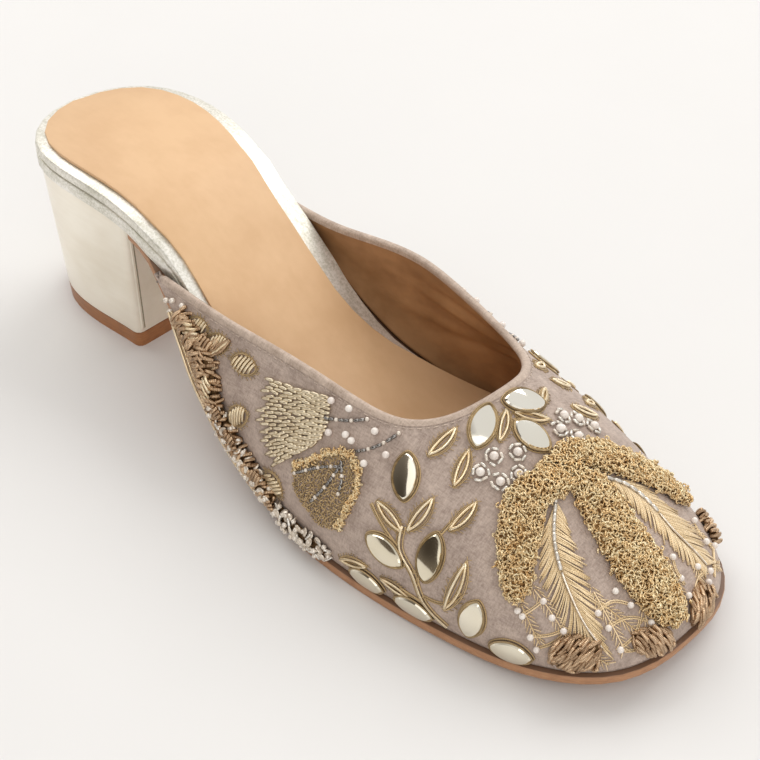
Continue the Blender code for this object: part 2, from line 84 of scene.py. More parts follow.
# along; collar x, y, z; wall rise and lean at the feather line; reach and slope at the collar
RIBS = (
    (-194.5, 73.0, -27.2, 43.2, 0.8, 0.4, 0.8, 88.0),
    (-184.0, 84.0, -28.0, 43.8, 3.5, 1.8, 3.5, 86.0),
    (-170.0, 98.0, -27.8, 43.4, 6.5, 3.0, 6.0, 80.0),
    (-152.0, 116.0, -27.8, 44.6, 10.0, 3.4, 10.0, 74.0),
    (-133.0, 134.0, -27.6, 45.2, 13.0, 3.6, 13.0, 70.0),
    (-115.0, 148.5, -26.4, 44.0, 15.5, 4.4, 14.5, 60.0),
    (-97.0, 159.6, -23.8, 43.6, 16.5, 4.6, 16.5, 44.0),
    (-76.0, 168.0, -17.8, 45.2, 16.5, 4.6, 21.0, 35.0),
    (-50.0, 173.0, -10.0, 48.0, 15.0, 4.0, 24.0, 33.0),
    (-22.0, 175.2, -3.6, 49.8, 13.0, 2.6, 24.0, 33.0),
    (0.0, 175.6, 0.6, 50.0, 12.5, 2.2, 23.5, 34.0),
    (20.0, 175.0, 5.0, 49.2, 11.5, 1.6, 21.5, 38.0),
    (44.0, 172.8, 10.4, 47.2, 12.5, 2.4, 20.5, 38.0),
    (68.0, 168.6, 16.4, 44.4, 14.5, 3.8, 18.5, 40.0),
    (88.0, 162.0, 21.2, 42.9, 15.0, 4.4, 15.0, 48.0),
    (104.0, 151.0, 24.9, 43.0, 15.0, 4.4, 14.0, 60.0),
    (121.0, 137.0, 27.3, 44.6, 13.0, 4.6, 12.0, 74.0),
    (137.0, 121.0, 28.8, 45.8, 10.0, 5.0, 9.0, 84.0),
    (153.0, 105.0, 27.6, 44.9, 8.0, 4.6, 7.0, 88.0),
    (169.0, 89.5, 25.2, 43.8, 4.5, 2.4, 4.0, 90.0),
    (184.0, 73.0, 25.2, 43.2, 0.8, 0.4, 0.8, 88.0),
)


def natural_spline(xs, ys):
    """A function through the points whose bend changes smoothly; ys may have columns."""
    xs, ys = np.asarray(xs, float), np.asarray(ys, float)
    flat = ys.ndim == 1
    ys = ys[:, None] if flat else ys
    h = np.diff(xs)
    n = len(xs)
    rows, right = np.eye(n), np.zeros(ys.shape)
    steps = np.diff(ys, axis=0) / h[:, None]
    for i in range(1, n - 1):
        rows[i, i - 1:i + 2] = (h[i - 1], 2 * (h[i - 1] + h[i]), h[i])
        right[i] = 6 * (steps[i] - steps[i - 1])
    bend = np.linalg.solve(rows, right)

    def value(x):
        x = np.asarray(x, float)
        i = np.clip(np.searchsorted(xs, x) - 1, 0, n - 2)
        a = ((xs[i + 1] - x) / h[i])[..., None]
        b = 1 - a
        curve = (a ** 3 - a) * bend[i] + (b ** 3 - b) * bend[i + 1]
        made = a * ys[i] + b * ys[i + 1] + curve * (h[i] ** 2)[..., None] / 6
        return made[..., 0] if flat else made

    return value


def level_spline(table):
    """A function through the rows that never overshoots."""
    xs, ys = np.array(table, float).T
    h = np.diff(xs)
    step = np.diff(ys) / h
    slope = np.zeros(len(xs))
    slope[0], slope[-1] = step[0], step[-1]
    for i in range(1, len(xs) - 1):
        if step[i - 1] * step[i] > 0:
            before, after = 2 * h[i] + h[i - 1], h[i] + 2 * h[i - 1]
            slope[i] = (before + after) / (before / step[i - 1] + after / step[i])

    def value(x):
        x = np.clip(np.asarray(x, float), xs[0], xs[-1])
        i = np.clip(np.searchsorted(xs, x) - 1, 0, len(xs) - 2)
        t = (x - xs[i]) / h[i]
        ends = ys[i] + (ys[i + 1] - ys[i]) * t * t * (3 - 2 * t)
        return ends + h[i] * (slope[i] * t * (1 - t) ** 2 - slope[i + 1] * t * t * (1 - t))

    return value


def distances(points):
    """How far along a line each of its points is."""
    return np.r_[0, np.cumsum(np.linalg.norm(np.diff(points, axis=0), axis=-1))]


def closed_outline():
    """The feather line as many evenly spread points, from the heel round the lateral side."""
    lateral = [(x, -w) for x, w, _ in OUTLINE]
    medial = [(x, w) for x, _, w in reversed(OUTLINE)]
    loop = [HEEL_BACK, *lateral, TOE_TIP, *medial]
    wrapped = np.array(loop[-3:] + loop + loop[:4])  # laps itself, so it closes smoothly
    reach = distances(wrapped)
    return natural_spline(reach, wrapped)(np.linspace(reach[3], reach[3 + len(loop)], 1200))


FEATHER = closed_outline()
FEATHER_RUN = distances(FEATHER)
TIP_RUN = FEATHER_RUN[int(np.argmax(FEATHER[:, 0]))]
TANGENT = np.gradient(FEATHER, FEATHER_RUN, axis=0)
OUTWARD = np.c_[TANGENT[:, 1], -TANGENT[:, 0]] / np.hypot(*TANGENT.T)[:, None]
footbed_top, sole_depth = level_spline(FOOTBED_TOP), level_spline(SOLE_DEPTH)
RIB_ROWS = np.array(RIBS)
rib_values = natural_spline(RIB_ROWS[:, 0], RIB_ROWS[:, 1:])
WING_LATERAL, WING_MEDIAL = RIB_ROWS[0, 0], RIB_ROWS[-1, 0]


def upper_point(along, rise):
    """Outer face of the upper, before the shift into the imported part's frame."""
    along, rise = np.broadcast_arrays(np.asarray(along, float), np.asarray(rise, float))
    rise = rise[..., None]
    run = TIP_RUN + along
    plan = np.stack([np.interp(run, FEATHER_RUN, c) for c in FEATHER.T], axis=-1)
    out = np.stack([np.interp(run, FEATHER_RUN, c) for c in OUTWARD.T], axis=-1)
    row = rib_values(along)
    collar = row[..., 0:3]
    wall_rise, lean, reach, slope = (row[..., k:k + 1] for k in range(3, 7))
    sole = footbed_top(plan[..., 0]) - sole_depth(plan[..., 0])
    foot = np.concatenate([plan, (sole + SOLE_GAP)[..., None]], axis=-1)
    flat_out = np.concatenate([out, np.zeros_like(wall_rise)], axis=-1)
    up = np.zeros_like(foot)
    up[..., 2] = 1.0
    first = foot + up * wall_rise + flat_out * lean
    to_foot = foot - collar + RIB_OUTWARD * flat_out
    to_foot[..., 2] = 0.0
    to_foot /= np.linalg.norm(to_foot, axis=-1, keepdims=True)
    tilt = np.radians(slope)
    second = collar + reach * (to_foot * np.cos(tilt) - up * np.sin(tilt))
    a, b = 1 - rise, rise
    return a ** 3 * foot + 3 * a * a * b * first + 3 * a * b * b * second + b ** 3 * collar


def unit(v):
    """Vectors of length 1 with the same directions."""
    return v / np.maximum(np.linalg.norm(v, axis=-1, keepdims=True), 1e-9)


def upper_frame(along, rise):
    """Unit directions on the face: on along the feather line, up the rib, and outwards."""
    along, rise = np.asarray(along, float), np.asarray(rise, float)
    aside, above = 0.2, 0.01
    on = upper_point(along + aside, rise) - upper_point(along - aside, rise)
    up = upper_point(along, rise + above) - upper_point(along, rise - above)
    out = unit(np.cross(on, up))
    on = unit(on)
    return on, np.cross(out, on), out


def over_upper(along, rise, across, upward, height):
    """Points over the face, and the outward directions there. across and upward are distances
    from the anchor (along, rise), in the plane that touches the face; anchors may be many, and
    across and upward then have a row for each."""
    along, rise = np.asarray(along, float)[..., None], np.asarray(rise, float)[..., None]
    across, upward = np.broadcast_arrays(np.asarray(across, float), np.asarray(upward, float))
    along, rise = np.broadcast_arrays(along, rise)
    anchor = upper_point(along, rise)
    on, up, _ = upper_frame(along, rise)
    a, r = (np.broadcast_to(v, np.broadcast_shapes(v.shape, across.shape)).copy()
            for v in (along, rise))

    def flat(a, r):
        away = upper_point(a, r) - anchor
        return (away * on).sum(-1), (away * up).sum(-1)

    # Newton's rounds: each follows the face's slope from (a, r) towards the wanted place.
    aside, above = 0.2, 0.004
    for _ in range(5):
        x, y = flat(a, r)
        xa, ya = ((moved - still) / aside for moved, still in zip(flat(a + aside, r), (x, y)))
        xr, yr = ((moved - still) / above for moved, still in zip(flat(a, r + above), (x, y)))
        dx, dy = across - x, upward - y
        size = xa * yr - xr * ya
        size = np.where(np.abs(size) < 1e-6, 1e-6, size)
        a += np.clip((dx * yr - xr * dy) / size, -12, 12)
        r += np.clip((xa * dy - ya * dx) / size, -0.3, 0.3)
        a, r = np.clip(a, WING_LATERAL, WING_MEDIAL), np.clip(r, -0.2, 1.15)
    out = upper_frame(a, r)[2]
    return upper_point(a, r) + out * np.broadcast_to(height, a.shape)[..., None], out


# The shift from the last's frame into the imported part's, from the upper's own box, in metres.
BOX_LOW, BOX_HIGH = (np.array(c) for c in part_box("upper"))
PROBE = upper_point(*np.meshgrid(np.linspace(WING_LATERAL, WING_MEDIAL, 76),
                                 np.linspace(0, 1, 12), indexing="ij"))
SHIFT = np.array([BOX_HIGH[0] - PROBE[..., 0].max() * MM,
                  BOX_LOW[1] - PROBE[..., 1].min() * MM, 0])

# ---- Mesh helpers ----------------------------------------------------------------------------


class Heap:
    """Many small shapes joined into one mesh. Each has a run, which is the distance along a
    thread or wire, and a tone from 0 to 1 that varies from shape to shape."""

    def __init__(self):
        self.points, self.faces, self.runs, self.tones, self.count = [], [], [], [], 0

    def add(self, points, faces, run=None, tone=None):
        """points is (copies, corners, 3), and faces index one copy's corners."""
        points = points[None] if points.ndim == 2 else points
        copies, corners = points.shape[:2]
        starts = self.count + corners * np.arange(copies)
        for size in sorted({len(f) for f in faces}):
            same = np.array([f for f in faces if len(f) == size])
            self.faces.append((same[None] + starts[:, None, None]).reshape(-1, size))
        self.points.append(points.reshape(-1, 3))
        run = np.zeros(corners) if run is None else run
        tone = rng.random(copies) if tone is None else np.full(copies, tone)
        self.runs.append(np.tile(run, copies))
        self.tones.append(np.repeat(tone, corners))
        self.count += copies * corners
        return self

    def build(self, name, finish, slot="gold_coil", replaces=(), sharp=None):
        """Makes the piece. replaces names the solids that it stands for, and edges over sharp
        degrees stay crisp."""
        points = np.concatenate(self.points) * MM + SHIFT
        loops = np.concatenate([f.ravel() for f in self.faces])
        sizes = np.concatenate([np.full(len(f), f.shape[1]) for f in self.faces])
        mesh = bpy.data.meshes.new(name)
        mesh.vertices.add(len(points))
        mesh.vertices.foreach_set("co", points.ravel())
        mesh.loops.add(len(loops))
        mesh.polygons.add(len(sizes))
        mesh.polygons.foreach_set("loop_start", np.r_[0, np.cumsum(sizes)[:-1]])
        mesh.polygons.foreach_set("vertices", loops)
        mesh.update(calc_edges=True)
        mesh.validate()
        for attribute, values in (("run", self.runs), ("tone", self.tones)):
            made = mesh.attributes.new(attribute, "FLOAT", "POINT")
            made.data.foreach_set("value", np.concatenate(values).astype(np.float32))
        for one in finish if isinstance(finish, list) else [finish]:
            mesh.materials.append(one)
        mesh.shade_smooth()
        if sharp:
            mesh.set_sharp_from_angle(angle=math.radians(sharp))
        piece = bpy.data.objects.new(name, mesh)
        bpy.context.scene.collection.objects.link(piece)
        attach(piece, "root")
        if replaces:
            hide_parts(*replaces)
        return piece


def strip_faces(rings, sides, loop=False):
    """Faces of a tube whose corners run ring by ring. It is closed by an end face at both
    ends, or by its own first ring if it is a loop."""
    faces = []
    for k in range(rings if loop else rings - 1):
        n = (k + 1) % rings
        for i in range(sides):
            j = (i + 1) % sides
            faces.append((k * sides + i, k * sides + j, n * sides + j, n * sides + i))
    if not loop:
        faces.append(tuple(range(sides))[::-1])
        faces.append(tuple((rings - 1) * sides + i for i in range(sides)))
    return faces


def tubes(lines, outs, radius, sides=6, flat=1.0, loop=False):
    """Tubes along many lines of equal count: corners, faces and run. radius may vary along a
    line, and flat is the height of the section over its width."""
    lines = lines[None] if lines.ndim == 2 else lines
    outs = np.broadcast_to(outs, lines.shape)
    rings = lines.shape[1]
    if loop:
        ahead = np.roll(lines, -1, axis=1) - np.roll(lines, 1, axis=1)
    else:
        ahead = np.gradient(lines, axis=1)
    ahead = unit(ahead)
    across = unit(np.cross(outs, ahead))
    lift = np.cross(ahead, across)
    turn = 2 * np.pi * (np.arange(sides) + 0.5) / sides
    radius = np.broadcast_to(radius, lines.shape[:2])[..., None, None]
    ring = (np.cos(turn)[:, None] * across[:, :, None, :]
            + flat * np.sin(turn)[:, None] * lift[:, :, None, :])
    corners = (lines[:, :, None, :] + radius * ring).reshape(len(lines), -1, 3)
    return corners, strip_faces(rings, sides, loop), np.repeat(distances(lines[0]), sides)


def beads(heap, centres, outs, radius, flat=1.0, rings=6, sides=9):
    """Round beads, or flat ones, with a pole along each outward direction."""
    outs = unit(outs)
    side = unit(np.cross(outs, np.array([0.31, 0.52, 0.79])))
    other = np.cross(outs, side)
    lat = np.linspace(-0.5, 0.5, rings) * np.pi * 0.94
    turn = 2 * np.pi * np.arange(sides) / sides
    shape = (np.cos(lat)[:, None, None] * (np.cos(turn)[None, :, None] * side[:, None, None]
             + np.sin(turn)[None, :, None] * other[:, None, None])
             + flat * np.sin(lat)[:, None, None] * outs[:, None, None])
    corners = centres[:, None, None] + radius * shape
    heap.add(corners.reshape(len(centres), -1, 3), strip_faces(rings, sides))


def spline_path(rows, step):
    """Evenly spaced rows of a curve over the face through rows whose first two columns are
    (along, rise)."""
    rows = np.array(rows, float)
    reach = distances(upper_point(rows[:, 0], rows[:, 1]))
    count = max(3, round(reach[-1] / step) + 1)
    return natural_spline(reach, rows)(np.linspace(0, reach[-1], count))


def laid(along, rise, turn, forward, sideways, height):
    """Points over the face at (forward, sideways) from anchors, in axes turned by turn."""
    turn = np.asarray(turn, float)[..., None]
    across = np.cos(turn) * forward - np.sin(turn) * sideways
    upward = np.sin(turn) * forward + np.cos(turn) * sideways
    return over_upper(along, rise, across, upward, height)


# ---- Finishes --------------------------------------------------------------------------------


class Value:
    """A shader socket that can stand in a sum or a product."""

    def __init__(self, owner, socket):
        self.owner, self.socket = owner, socket

    def _math(self, operation, *others):
        values = dict(enumerate((self, *others)))
        return self.owner.node("ShaderNodeMath", {"operation": operation}, values)

    def __add__(self, other):
        return self._math("ADD", other)

    def __mul__(self, other):
        return self._math("MULTIPLY", other)

    __radd__, __rmul__ = __add__, __mul__

    def sine(self):
        return self._math("SINE")

    def clip(self):
        """Held between 0 and 1."""
        return self.owner.node("ShaderNodeClamp", {}, {0: self})


def fill_ramp(ramp, stops):
    """Sets a new ramp's stops of (place, colour), which run from the lowest place up."""
    for element, (place, colour) in zip(ramp.elements, (stops[0], stops[-1])):
        element.position = place
        element.color = (*colour, 1.0)
    for place, colour in stops[1:-1]:
        ramp.elements.new(place).color = (*colour, 1.0)


class Finish:
    """One finish and its shader. Values given to it are set on the shader's own sockets."""

    def __init__(self, name, **fixed):
        self.material = bpy.data.materials.new(name)
        self.material.use_nodes = True
        self.tree = self.material.node_tree
        self.shader = self.tree.nodes["Principled BSDF"]
        self.put(self.shader, fixed)

    def put(self, node, inputs):
        """Sets or links sockets, given by number or by name with _ for a space."""
        for key, value in inputs.items():
            key = key.replace("_", " ") if isinstance(key, str) else key
            socket = node.inputs[key]
            if isinstance(value, Value):
                self.tree.links.new(value.socket, socket)
            elif hasattr(value, "__len__") and len(socket.default_value) == 4:
                socket.default_value = (*value, 1.0)[:4]
            else:
                socket.default_value = value

    def node(self, kind, settings, inputs, output=0):
        """A new node with its settings first, then its inputs."""
        made = self.tree.nodes.new(kind)
        for key, value in settings.items():
            if key == "stops":
                fill_ramp(made.color_ramp, value)
            else:
                setattr(made, key, value)
        self.put(made, inputs)
        return Value(self, made.outputs[output])

    def place(self, stretch=(1.0, 1.0, 1.0), turn=(0.0, 0.0, 0.0)):
        """Position on the object in millimetres, stretched and turned."""
        here = self.node("ShaderNodeTexCoord", {}, {}, "Object")
        scale = tuple(1000.0 * s for s in stretch)
        return self.node("ShaderNodeMapping", {}, {"Vector": here, "Scale": scale,
                                                   "Rotation": turn})

    def noise(self, place, scale, detail=3.0, rough=0.5):
        return self.node("ShaderNodeTexNoise", {}, {"Vector": place, "Scale": scale,
                                                    "Detail": detail, "Roughness": rough})

    def ramp(self, value, *stops):
        """Maps a value through (place, height) stops."""
        return self.node("ShaderNodeValToRGB", {"stops": [(p, (h, h, h)) for p, h in stops]},
                         {0: value})

    def blend(self, share, first, second):
        """A colour from the first at share 0 to the second at 1."""
        return self.node("ShaderNodeMix", {"data_type": "RGBA"},
                         {0: share, 6: first, 7: second}, 2)

    def attribute(self, name):
        return self.node("ShaderNodeAttribute", {"attribute_name": name}, {}, "Fac")

    def bump(self, height, distance, strength=1.0):
        """distance is the height in millimetres of a step from 0 to 1."""
        inputs = {"Height": height, "Distance": distance * MM, "Strength": strength}
        return self.node("ShaderNodeBump", {}, inputs)

    def set(self, **inputs):
        """Feeds the shader, and gives the finished material."""
        self.put(self.shader, inputs)
        return self.material


def woven_satin(name, pale, dark, sheen):
    """Fine satin: a slubby weave of two threads, soft clouds of shade and a faint sheen."""
    f = Finish(name, Sheen_Weight=sheen, Sheen_Roughness=0.45, Specular_IOR_Level=0.35)
    f.shader.inputs["Sheen Tint"].default_value = (1.0, 0.93, 0.86, 1.0)
    weft = f.noise(f.place((0.45, 2.4, 2.4)), 1.0, 3.0, 0.65)
    warp = f.noise(f.place((2.8, 0.5, 0.8), (0, 0.6, 0)), 1.0, 3.0, 0.65)
    cloud = f.noise(f.place(), 0.16, 4.0, 0.6)
    threads = weft * 0.5 + warp * 0.5
    shade = f.ramp(threads * 0.64 + cloud * 0.36, (0.39, 0.0), (0.61, 1.0))
    height = threads + f.noise(f.place(), 0.5, 2.0) * 0.5
    return f.set(Base_Color=f.blend(shade, dark, pale), Roughness=0.50 + weft * 0.22,
                 Normal=f.bump(height, 0.20, 0.8))


def leather(name, pale, dark, roughness, grain=1.0):
    """Smooth dyed leather with pores, soft clouds and shallow wrinkles."""
    f = Finish(name, Specular_IOR_Level=0.4)
    cloud = f.noise(f.place(), 0.045, 4.0, 0.6)
    pores = f.node("ShaderNodeTexVoronoi", {"feature": "F1"},
                   {"Vector": f.place(), "Scale": 2.6 * grain})
    folds = f.noise(f.place((0.6, 1.4, 1.0)), 0.35, 3.0)
    shade = f.ramp(cloud * 0.8 + folds * 0.2, (0.38, 0.0), (0.62, 1.0))
    skin = pores * 0.25 + folds * 0.5
    return f.set(Base_Color=f.blend(shade, dark, pale),
                 Roughness=roughness - 0.06 + folds * 0.14, Normal=f.bump(skin, 0.10, 0.45))


def foil_leather(name, pale, dark, roughness, crazing):
    """Leather under a pale gold foil, faintly streaked along the shoe. crazing from 0 to 1
    breaks the foil into mottled flakes."""
    f = Finish(name, Coat_Roughness=0.2, Coat_Weight=0.15)
    fine = f.noise(f.place(), 1.3, 4.0, 0.65)
    cloud = f.noise(f.place(), 0.05, 3.0)
    streak = f.noise(f.place((0.05, 0.6, 0.5)), 1.0, 3.0)
    flakes = f.ramp(fine * 0.75 + streak * 0.25, (0.40, 0.0), (0.58, 1.0))
    even = f.ramp(cloud * 0.8 + streak * 0.2, (0.36, 0.0), (0.62, 1.0))
    shade = even * (1 - crazing) + flakes * crazing
    return f.set(Base_Color=f.blend(shade, dark, pale), Metallic=0.66,
                 Roughness=roughness + 0.06 + fine * (0.02 + 0.14 * crazing),
                 Normal=f.bump(fine * (0.04 + crazing) + cloud * 3.0, 0.06, 0.35))


COIL_PITCH = 0.34  # from one turn of a coil's wire to the next


def wire(name, pale, dark, roughness, metallic=1.0):
    """Fine metal wire wound into a coil: ridges across its run, and a tone of its own. The ridges
    also colour it, lighter on each turn's crest and darker between turns: painted highlight and
    shade.
    """
    f = Finish(name, Specular_IOR_Level=0.6)
    run, tone = f.attribute("run"), f.attribute("tone")
    ridges = (run * (2 * math.pi / COIL_PITCH)).sine()
    tarnish = f.noise(f.place(), 0.28, 4.0, 0.65)
    # The ridges' term paints highlight on the crests and shade between the turns.
    share = (tone * 0.62 + f.ramp(tarnish, (0.34, 0.0), (0.66, 0.5)) + ridges * 0.08).clip()
    return f.set(Base_Color=f.blend(share, dark, pale), Metallic=metallic,
                 Roughness=roughness + tarnish * 0.12, Normal=f.bump(ridges, 0.10, 0.6))


def thread(name, pale, dark, metallic=0.45):
    """Twisted metallic thread, its colour lighter on the twist's crests and darker between them:
    painted highlight and shade.
    """
    f = Finish(name, Sheen_Weight=0.2)
    run, tone = f.attribute("run"), f.attribute("tone")
    twist = (run * 12.0).sine()
    # The twist's term paints highlight on the crests and shade between them.
    return f.set(Base_Color=f.blend((tone * 0.8 + twist * 0.12 + 0.1).clip(), dark, pale),
                 Metallic=metallic, Roughness=0.36 + tone * 0.16,
                 Normal=f.bump(twist, 0.06, 0.5))


def bright(name, pale, dark, roughness, metallic=1.0, coat=0.0, dents=0.02, wave_size=0.30):
    """Polished beads, sequins and mirrors, with shallow dents."""
    f = Finish(name, Coat_Roughness=0.06, Specular_IOR_Level=0.6)
    tone = f.attribute("tone")
    wave = f.noise(f.place(), wave_size, 1.0)
    spots = f.noise(f.place(), 1.3, 3.0)
    return f.set(Base_Color=f.blend((tone * 0.5 + wave * 0.6).clip(), dark, pale),
                 Metallic=metallic, Coat_Weight=coat, Roughness=roughness + spots * 0.05,
                 Normal=f.bump(wave, dents, 1.0))


def edge_paint(name, pale, dark, roughness, ledge_shade=None):
    """Painted and waxed leather edge, with fibres that run along it. The last argument, if given,
    is a darker colour for what faces up: painted shade, where the upper shadows the ledge."""
    f = Finish(name, Specular_IOR_Level=0.5)
    fibres = f.noise(f.place((0.4, 0.4, 4.0)), 0.8, 4.0, 0.6)
    scuffs = f.noise(f.place(), 0.35, 4.0, 0.65)
    colour = f.blend(f.ramp(fibres * 0.6 + scuffs * 0.4, (0.35, 0), (0.65, 1)), dark, pale)
    # What faces up takes painted shade, for the shadow that the upper casts on the ledge.
    if ledge_shade:
        facing = f.node("ShaderNodeTexCoord", {}, {}, "Normal")
        up = f.node("ShaderNodeSeparateXYZ", {}, {"Vector": facing}, "Z")
        colour = f.blend(f.ramp(up, (0.15, 0.0), (0.75, 1.0)), colour, ledge_shade)
    return f.set(Base_Color=colour, Roughness=roughness + scuffs * 0.2,
                 Normal=f.bump(fibres, 0.08, 0.4))


CLOTH = woven_satin("mauve_satin", (0.56, 0.45, 0.38), (0.30, 0.225, 0.185), 0.1)
BINDING = woven_satin("folded_topline", (0.62, 0.50, 0.41), (0.36, 0.27, 0.21), 0.12)
LINING = leather("tan_lining", (0.44, 0.235, 0.105), (0.28, 0.135, 0.052), 0.50)
SOCK = leather("tan_sock", (0.71, 0.465, 0.26), (0.65, 0.41, 0.22), 0.46, 0.8)
FOIL = foil_leather("smooth_gold_foil", (0.97, 0.915, 0.80), (0.87, 0.80, 0.67), 0.22, 0.0)
CRAZED_FOIL = foil_leather("crazed_gold_foil", (0.96, 0.93, 0.87), (0.58, 0.56, 0.46), 0.34,
                           0.6)
# The outsole's upward ledge gets painted shade, for the shadow under the upper.
SOLE = edge_paint("brown_sole_edge", (0.52, 0.275, 0.14), (0.34, 0.16, 0.075), 0.42,
                  ledge_shade=(0.17, 0.09, 0.05))
LIFT = edge_paint("caramel_lift", (0.42, 0.175, 0.06), (0.28, 0.105, 0.032), 0.30)
# Painted shade for the groove of the heel's seams.
SEAM_SHADE = edge_paint("seam_shade", (0.33, 0.29, 0.20), (0.24, 0.20, 0.13), 0.6)
COIL = wire("gilt_coil", (1.0, 0.86, 0.57), (0.72, 0.45, 0.18), 0.22, metallic=0.8)
# The coil beds are dark: partly the lower coils' own colour, partly painted shade for the gaps
# between coils.
COIL_BED_WITH_GAP_SHADE = wire("gilt_coil_bed_gap_shade", (0.52, 0.31, 0.12), (0.24, 0.13, 0.05), 0.5)
DARK_BED_WITH_GAP_SHADE = wire("dark_coil_bed_gap_shade", (0.24, 0.14, 0.065), (0.10, 0.058, 0.026), 0.5)
PALE_COIL = wire("pale_gilt_coil", (0.98, 0.86, 0.64), (0.80, 0.62, 0.38), 0.24)
DARK_COIL = wire("old_gilt_coil", (0.76, 0.55, 0.355), (0.27, 0.165, 0.095), 0.22)
SILVER_COIL = wire("silvered_coil", (0.92, 0.86, 0.76), (0.62, 0.52, 0.40), 0.24)
GOLD_THREAD = thread("gilt_thread", (1.0, 0.80, 0.52), (0.62, 0.44, 0.22))
DULL_THREAD = thread("antique_thread", (0.64, 0.46, 0.23), (0.32, 0.21, 0.09), 0.3)
SILK = thread("binding_silk", (0.66, 0.54, 0.44), (0.46, 0.36, 0.28), 0.05)
MIRROR = bright("gilt_mirror", (1.0, 0.97, 0.88), (0.66, 0.57, 0.38), 0.05, dents=0.55,
                wave_size=0.075)
# The wire round each mirror is a real holding wire, darkened as painted shade for the shadow line
# at the mirror's edge.
SHADED_BEZEL = wire("bezel_wire_painted_shade", (0.56, 0.42, 0.24), (0.16, 0.10, 0.045), 0.28)
PEARL = bright("pearl", (0.90, 0.84, 0.77), (0.74, 0.64, 0.57), 0.20, 0.0, 0.8)
SEQUIN = bright("pale_sequin", (0.86, 0.78, 0.67), (0.60, 0.50, 0.39), 0.20, 0.5, 0.5)
CLEAR_BEAD = bright("clear_bead", (0.84, 0.77, 0.68), (0.58, 0.49, 0.39), 0.16, 0.25, 0.9)
SILVER = bright("silver_bugle", (0.90, 0.86, 0.79), (0.56, 0.51, 0.44), 0.2, 0.6)
GUNMETAL = bright("gunmetal_bugle", (0.40, 0.38, 0.36), (0.15, 0.14, 0.135), 0.20)
GOLD_BUGLE = bright("straw_bugle", (0.88, 0.775, 0.58), (0.58, 0.465, 0.31), 0.26, 0.8)

# ---- Shoe body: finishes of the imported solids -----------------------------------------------

NODE_FINISHES = {
    "outsole": SOLE, "heel_rand": CRAZED_FOIL, "heel_block": FOIL, "top_lift": LIFT,
    "footbed": CRAZED_FOIL, "insole_sock": SOCK,
}


WELD_REACH = 0.002  # corners closer than this are one
CRISP_ANGLE = 34.0  # degrees over which an edge stays crisp


def dress(node_name, finish):
    """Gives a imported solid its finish, and rounds the shading of its curved faces."""
    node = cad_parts[node_name]
    node.data.materials.clear()
    node.data.materials.append(finish)
    if "custom_normal" in node.data.attributes:
        node.data.attributes.remove(node.data.attributes["custom_normal"])
    node.data.shade_smooth()
    weld = node.modifiers.new("weld", "WELD")
    weld.merge_threshold = WELD_REACH * MM
    split = node.modifiers.new("crisp_edges", "EDGE_SPLIT")
    split.split_angle = math.radians(CRISP_ANGLE)


for node_name, node_finish in NODE_FINISHES.items():
    dress(node_name, node_finish)

# ---- Heel: the edge of its wrapping, sewn down both corners of the breast ---------------------

# (x, lateral y, medial y, z) of the rounded corners, from the lift to the seat
BREAST_CORNERS = ((50.0, -17.0, 16.8, 5.9), (51.9, -18.8, 19.3, 25.0), (53.9, -21.2, 23.0, 48.4))


def make_heel_seams():
    """A turned edge down each corner of the breast, with a dark line in front of it: painted
    shade for the seam's groove.
    """
    welt, seam = Heap(), Heap()
    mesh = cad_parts["heel_block"].data
    skin = BVHTree.FromPolygons([(v.co - Vector(SHIFT)) / MM for v in mesh.vertices],
                                [p.vertices[:] for p in mesh.polygons])
    rows = np.array(BREAST_CORNERS)
    marks = natural_spline(rows[:, 3], rows[:, :3])
    z = np.linspace(rows[0, 3], rows[-1, 3], 30)
    for side, sign in ((1, -1.0), (2, 1.0)):
        corner = np.c_[marks(z)[:, 0], marks(z)[:, side], z]
        for heap, ahead, lift, radius in ((welt, -0.9, 0.0, 0.42), (seam, 0.1, -0.05, 0.24)):
            beside = corner + np.array([ahead, -ahead * sign * 0.4, 0.0])
            found = [skin.find_nearest(Vector(point))[:2] for point in beside]
            line, out = (np.array(column) for column in zip(*found))
            heap.add(*tubes(line + out * lift, out, radius, 8, flat=0.55), tone=0.5)
    welt.build("heel_welts", FOIL, "pale_gold_leather")
    seam.build("heel_seams", SEAM_SHADE, "pale_gold_leather")


make_heel_seams()

# ---- Upper: satin outside, bound topline, leather lining -------------------------------------

# Soft creases: (along, rise, half-length, half-width, turn in degrees, height); a height
# below 0 is a trough.
CLOTH_CREASES = (
    (-132.0, 0.86, 15.0, 2.6, 6.0, -0.22),
    (-98.0, 0.80, 9.0, 2.4, 60.0, -0.20),
    (-45.0, 0.60, 10.0, 2.8, 70.0, 0.20),
    (96.0, 0.78, 10.0, 2.6, 110.0, -0.22),
    (128.0, 0.84, 14.0, 2.6, 172.0, -0.20),
    (-160.0, 0.55, 9.0, 2.4, 20.0, -0.18),
)
LINING_CREASES = (
    (86.0, 0.74, 22.0, 2.0, 168.0, 0.9),
    (96.0, 0.62, 24.0, 2.2, 164.0, -0.8),
    (110.0, 0.50, 22.0, 2.0, 170.0, 0.9),
    (124.0, 0.70, 18.0, 1.8, 176.0, -0.7),
    (120.0, 0.80, 16.0, 1.8, 172.0, 0.7),
    (72.0, 0.62, 10.0, 2.2, 120.0, 0.8),
    (134.0, 0.45, 14.0, 2.0, 168.0, -0.6),
    (-104.0, 0.62, 18.0, 2.4, 8.0, -0.8),
    (-122.0, 0.50, 16.0, 2.2, 12.0, 0.7),
    (-84.0, 0.70, 10.0, 2.2, 40.0, 0.6),
)


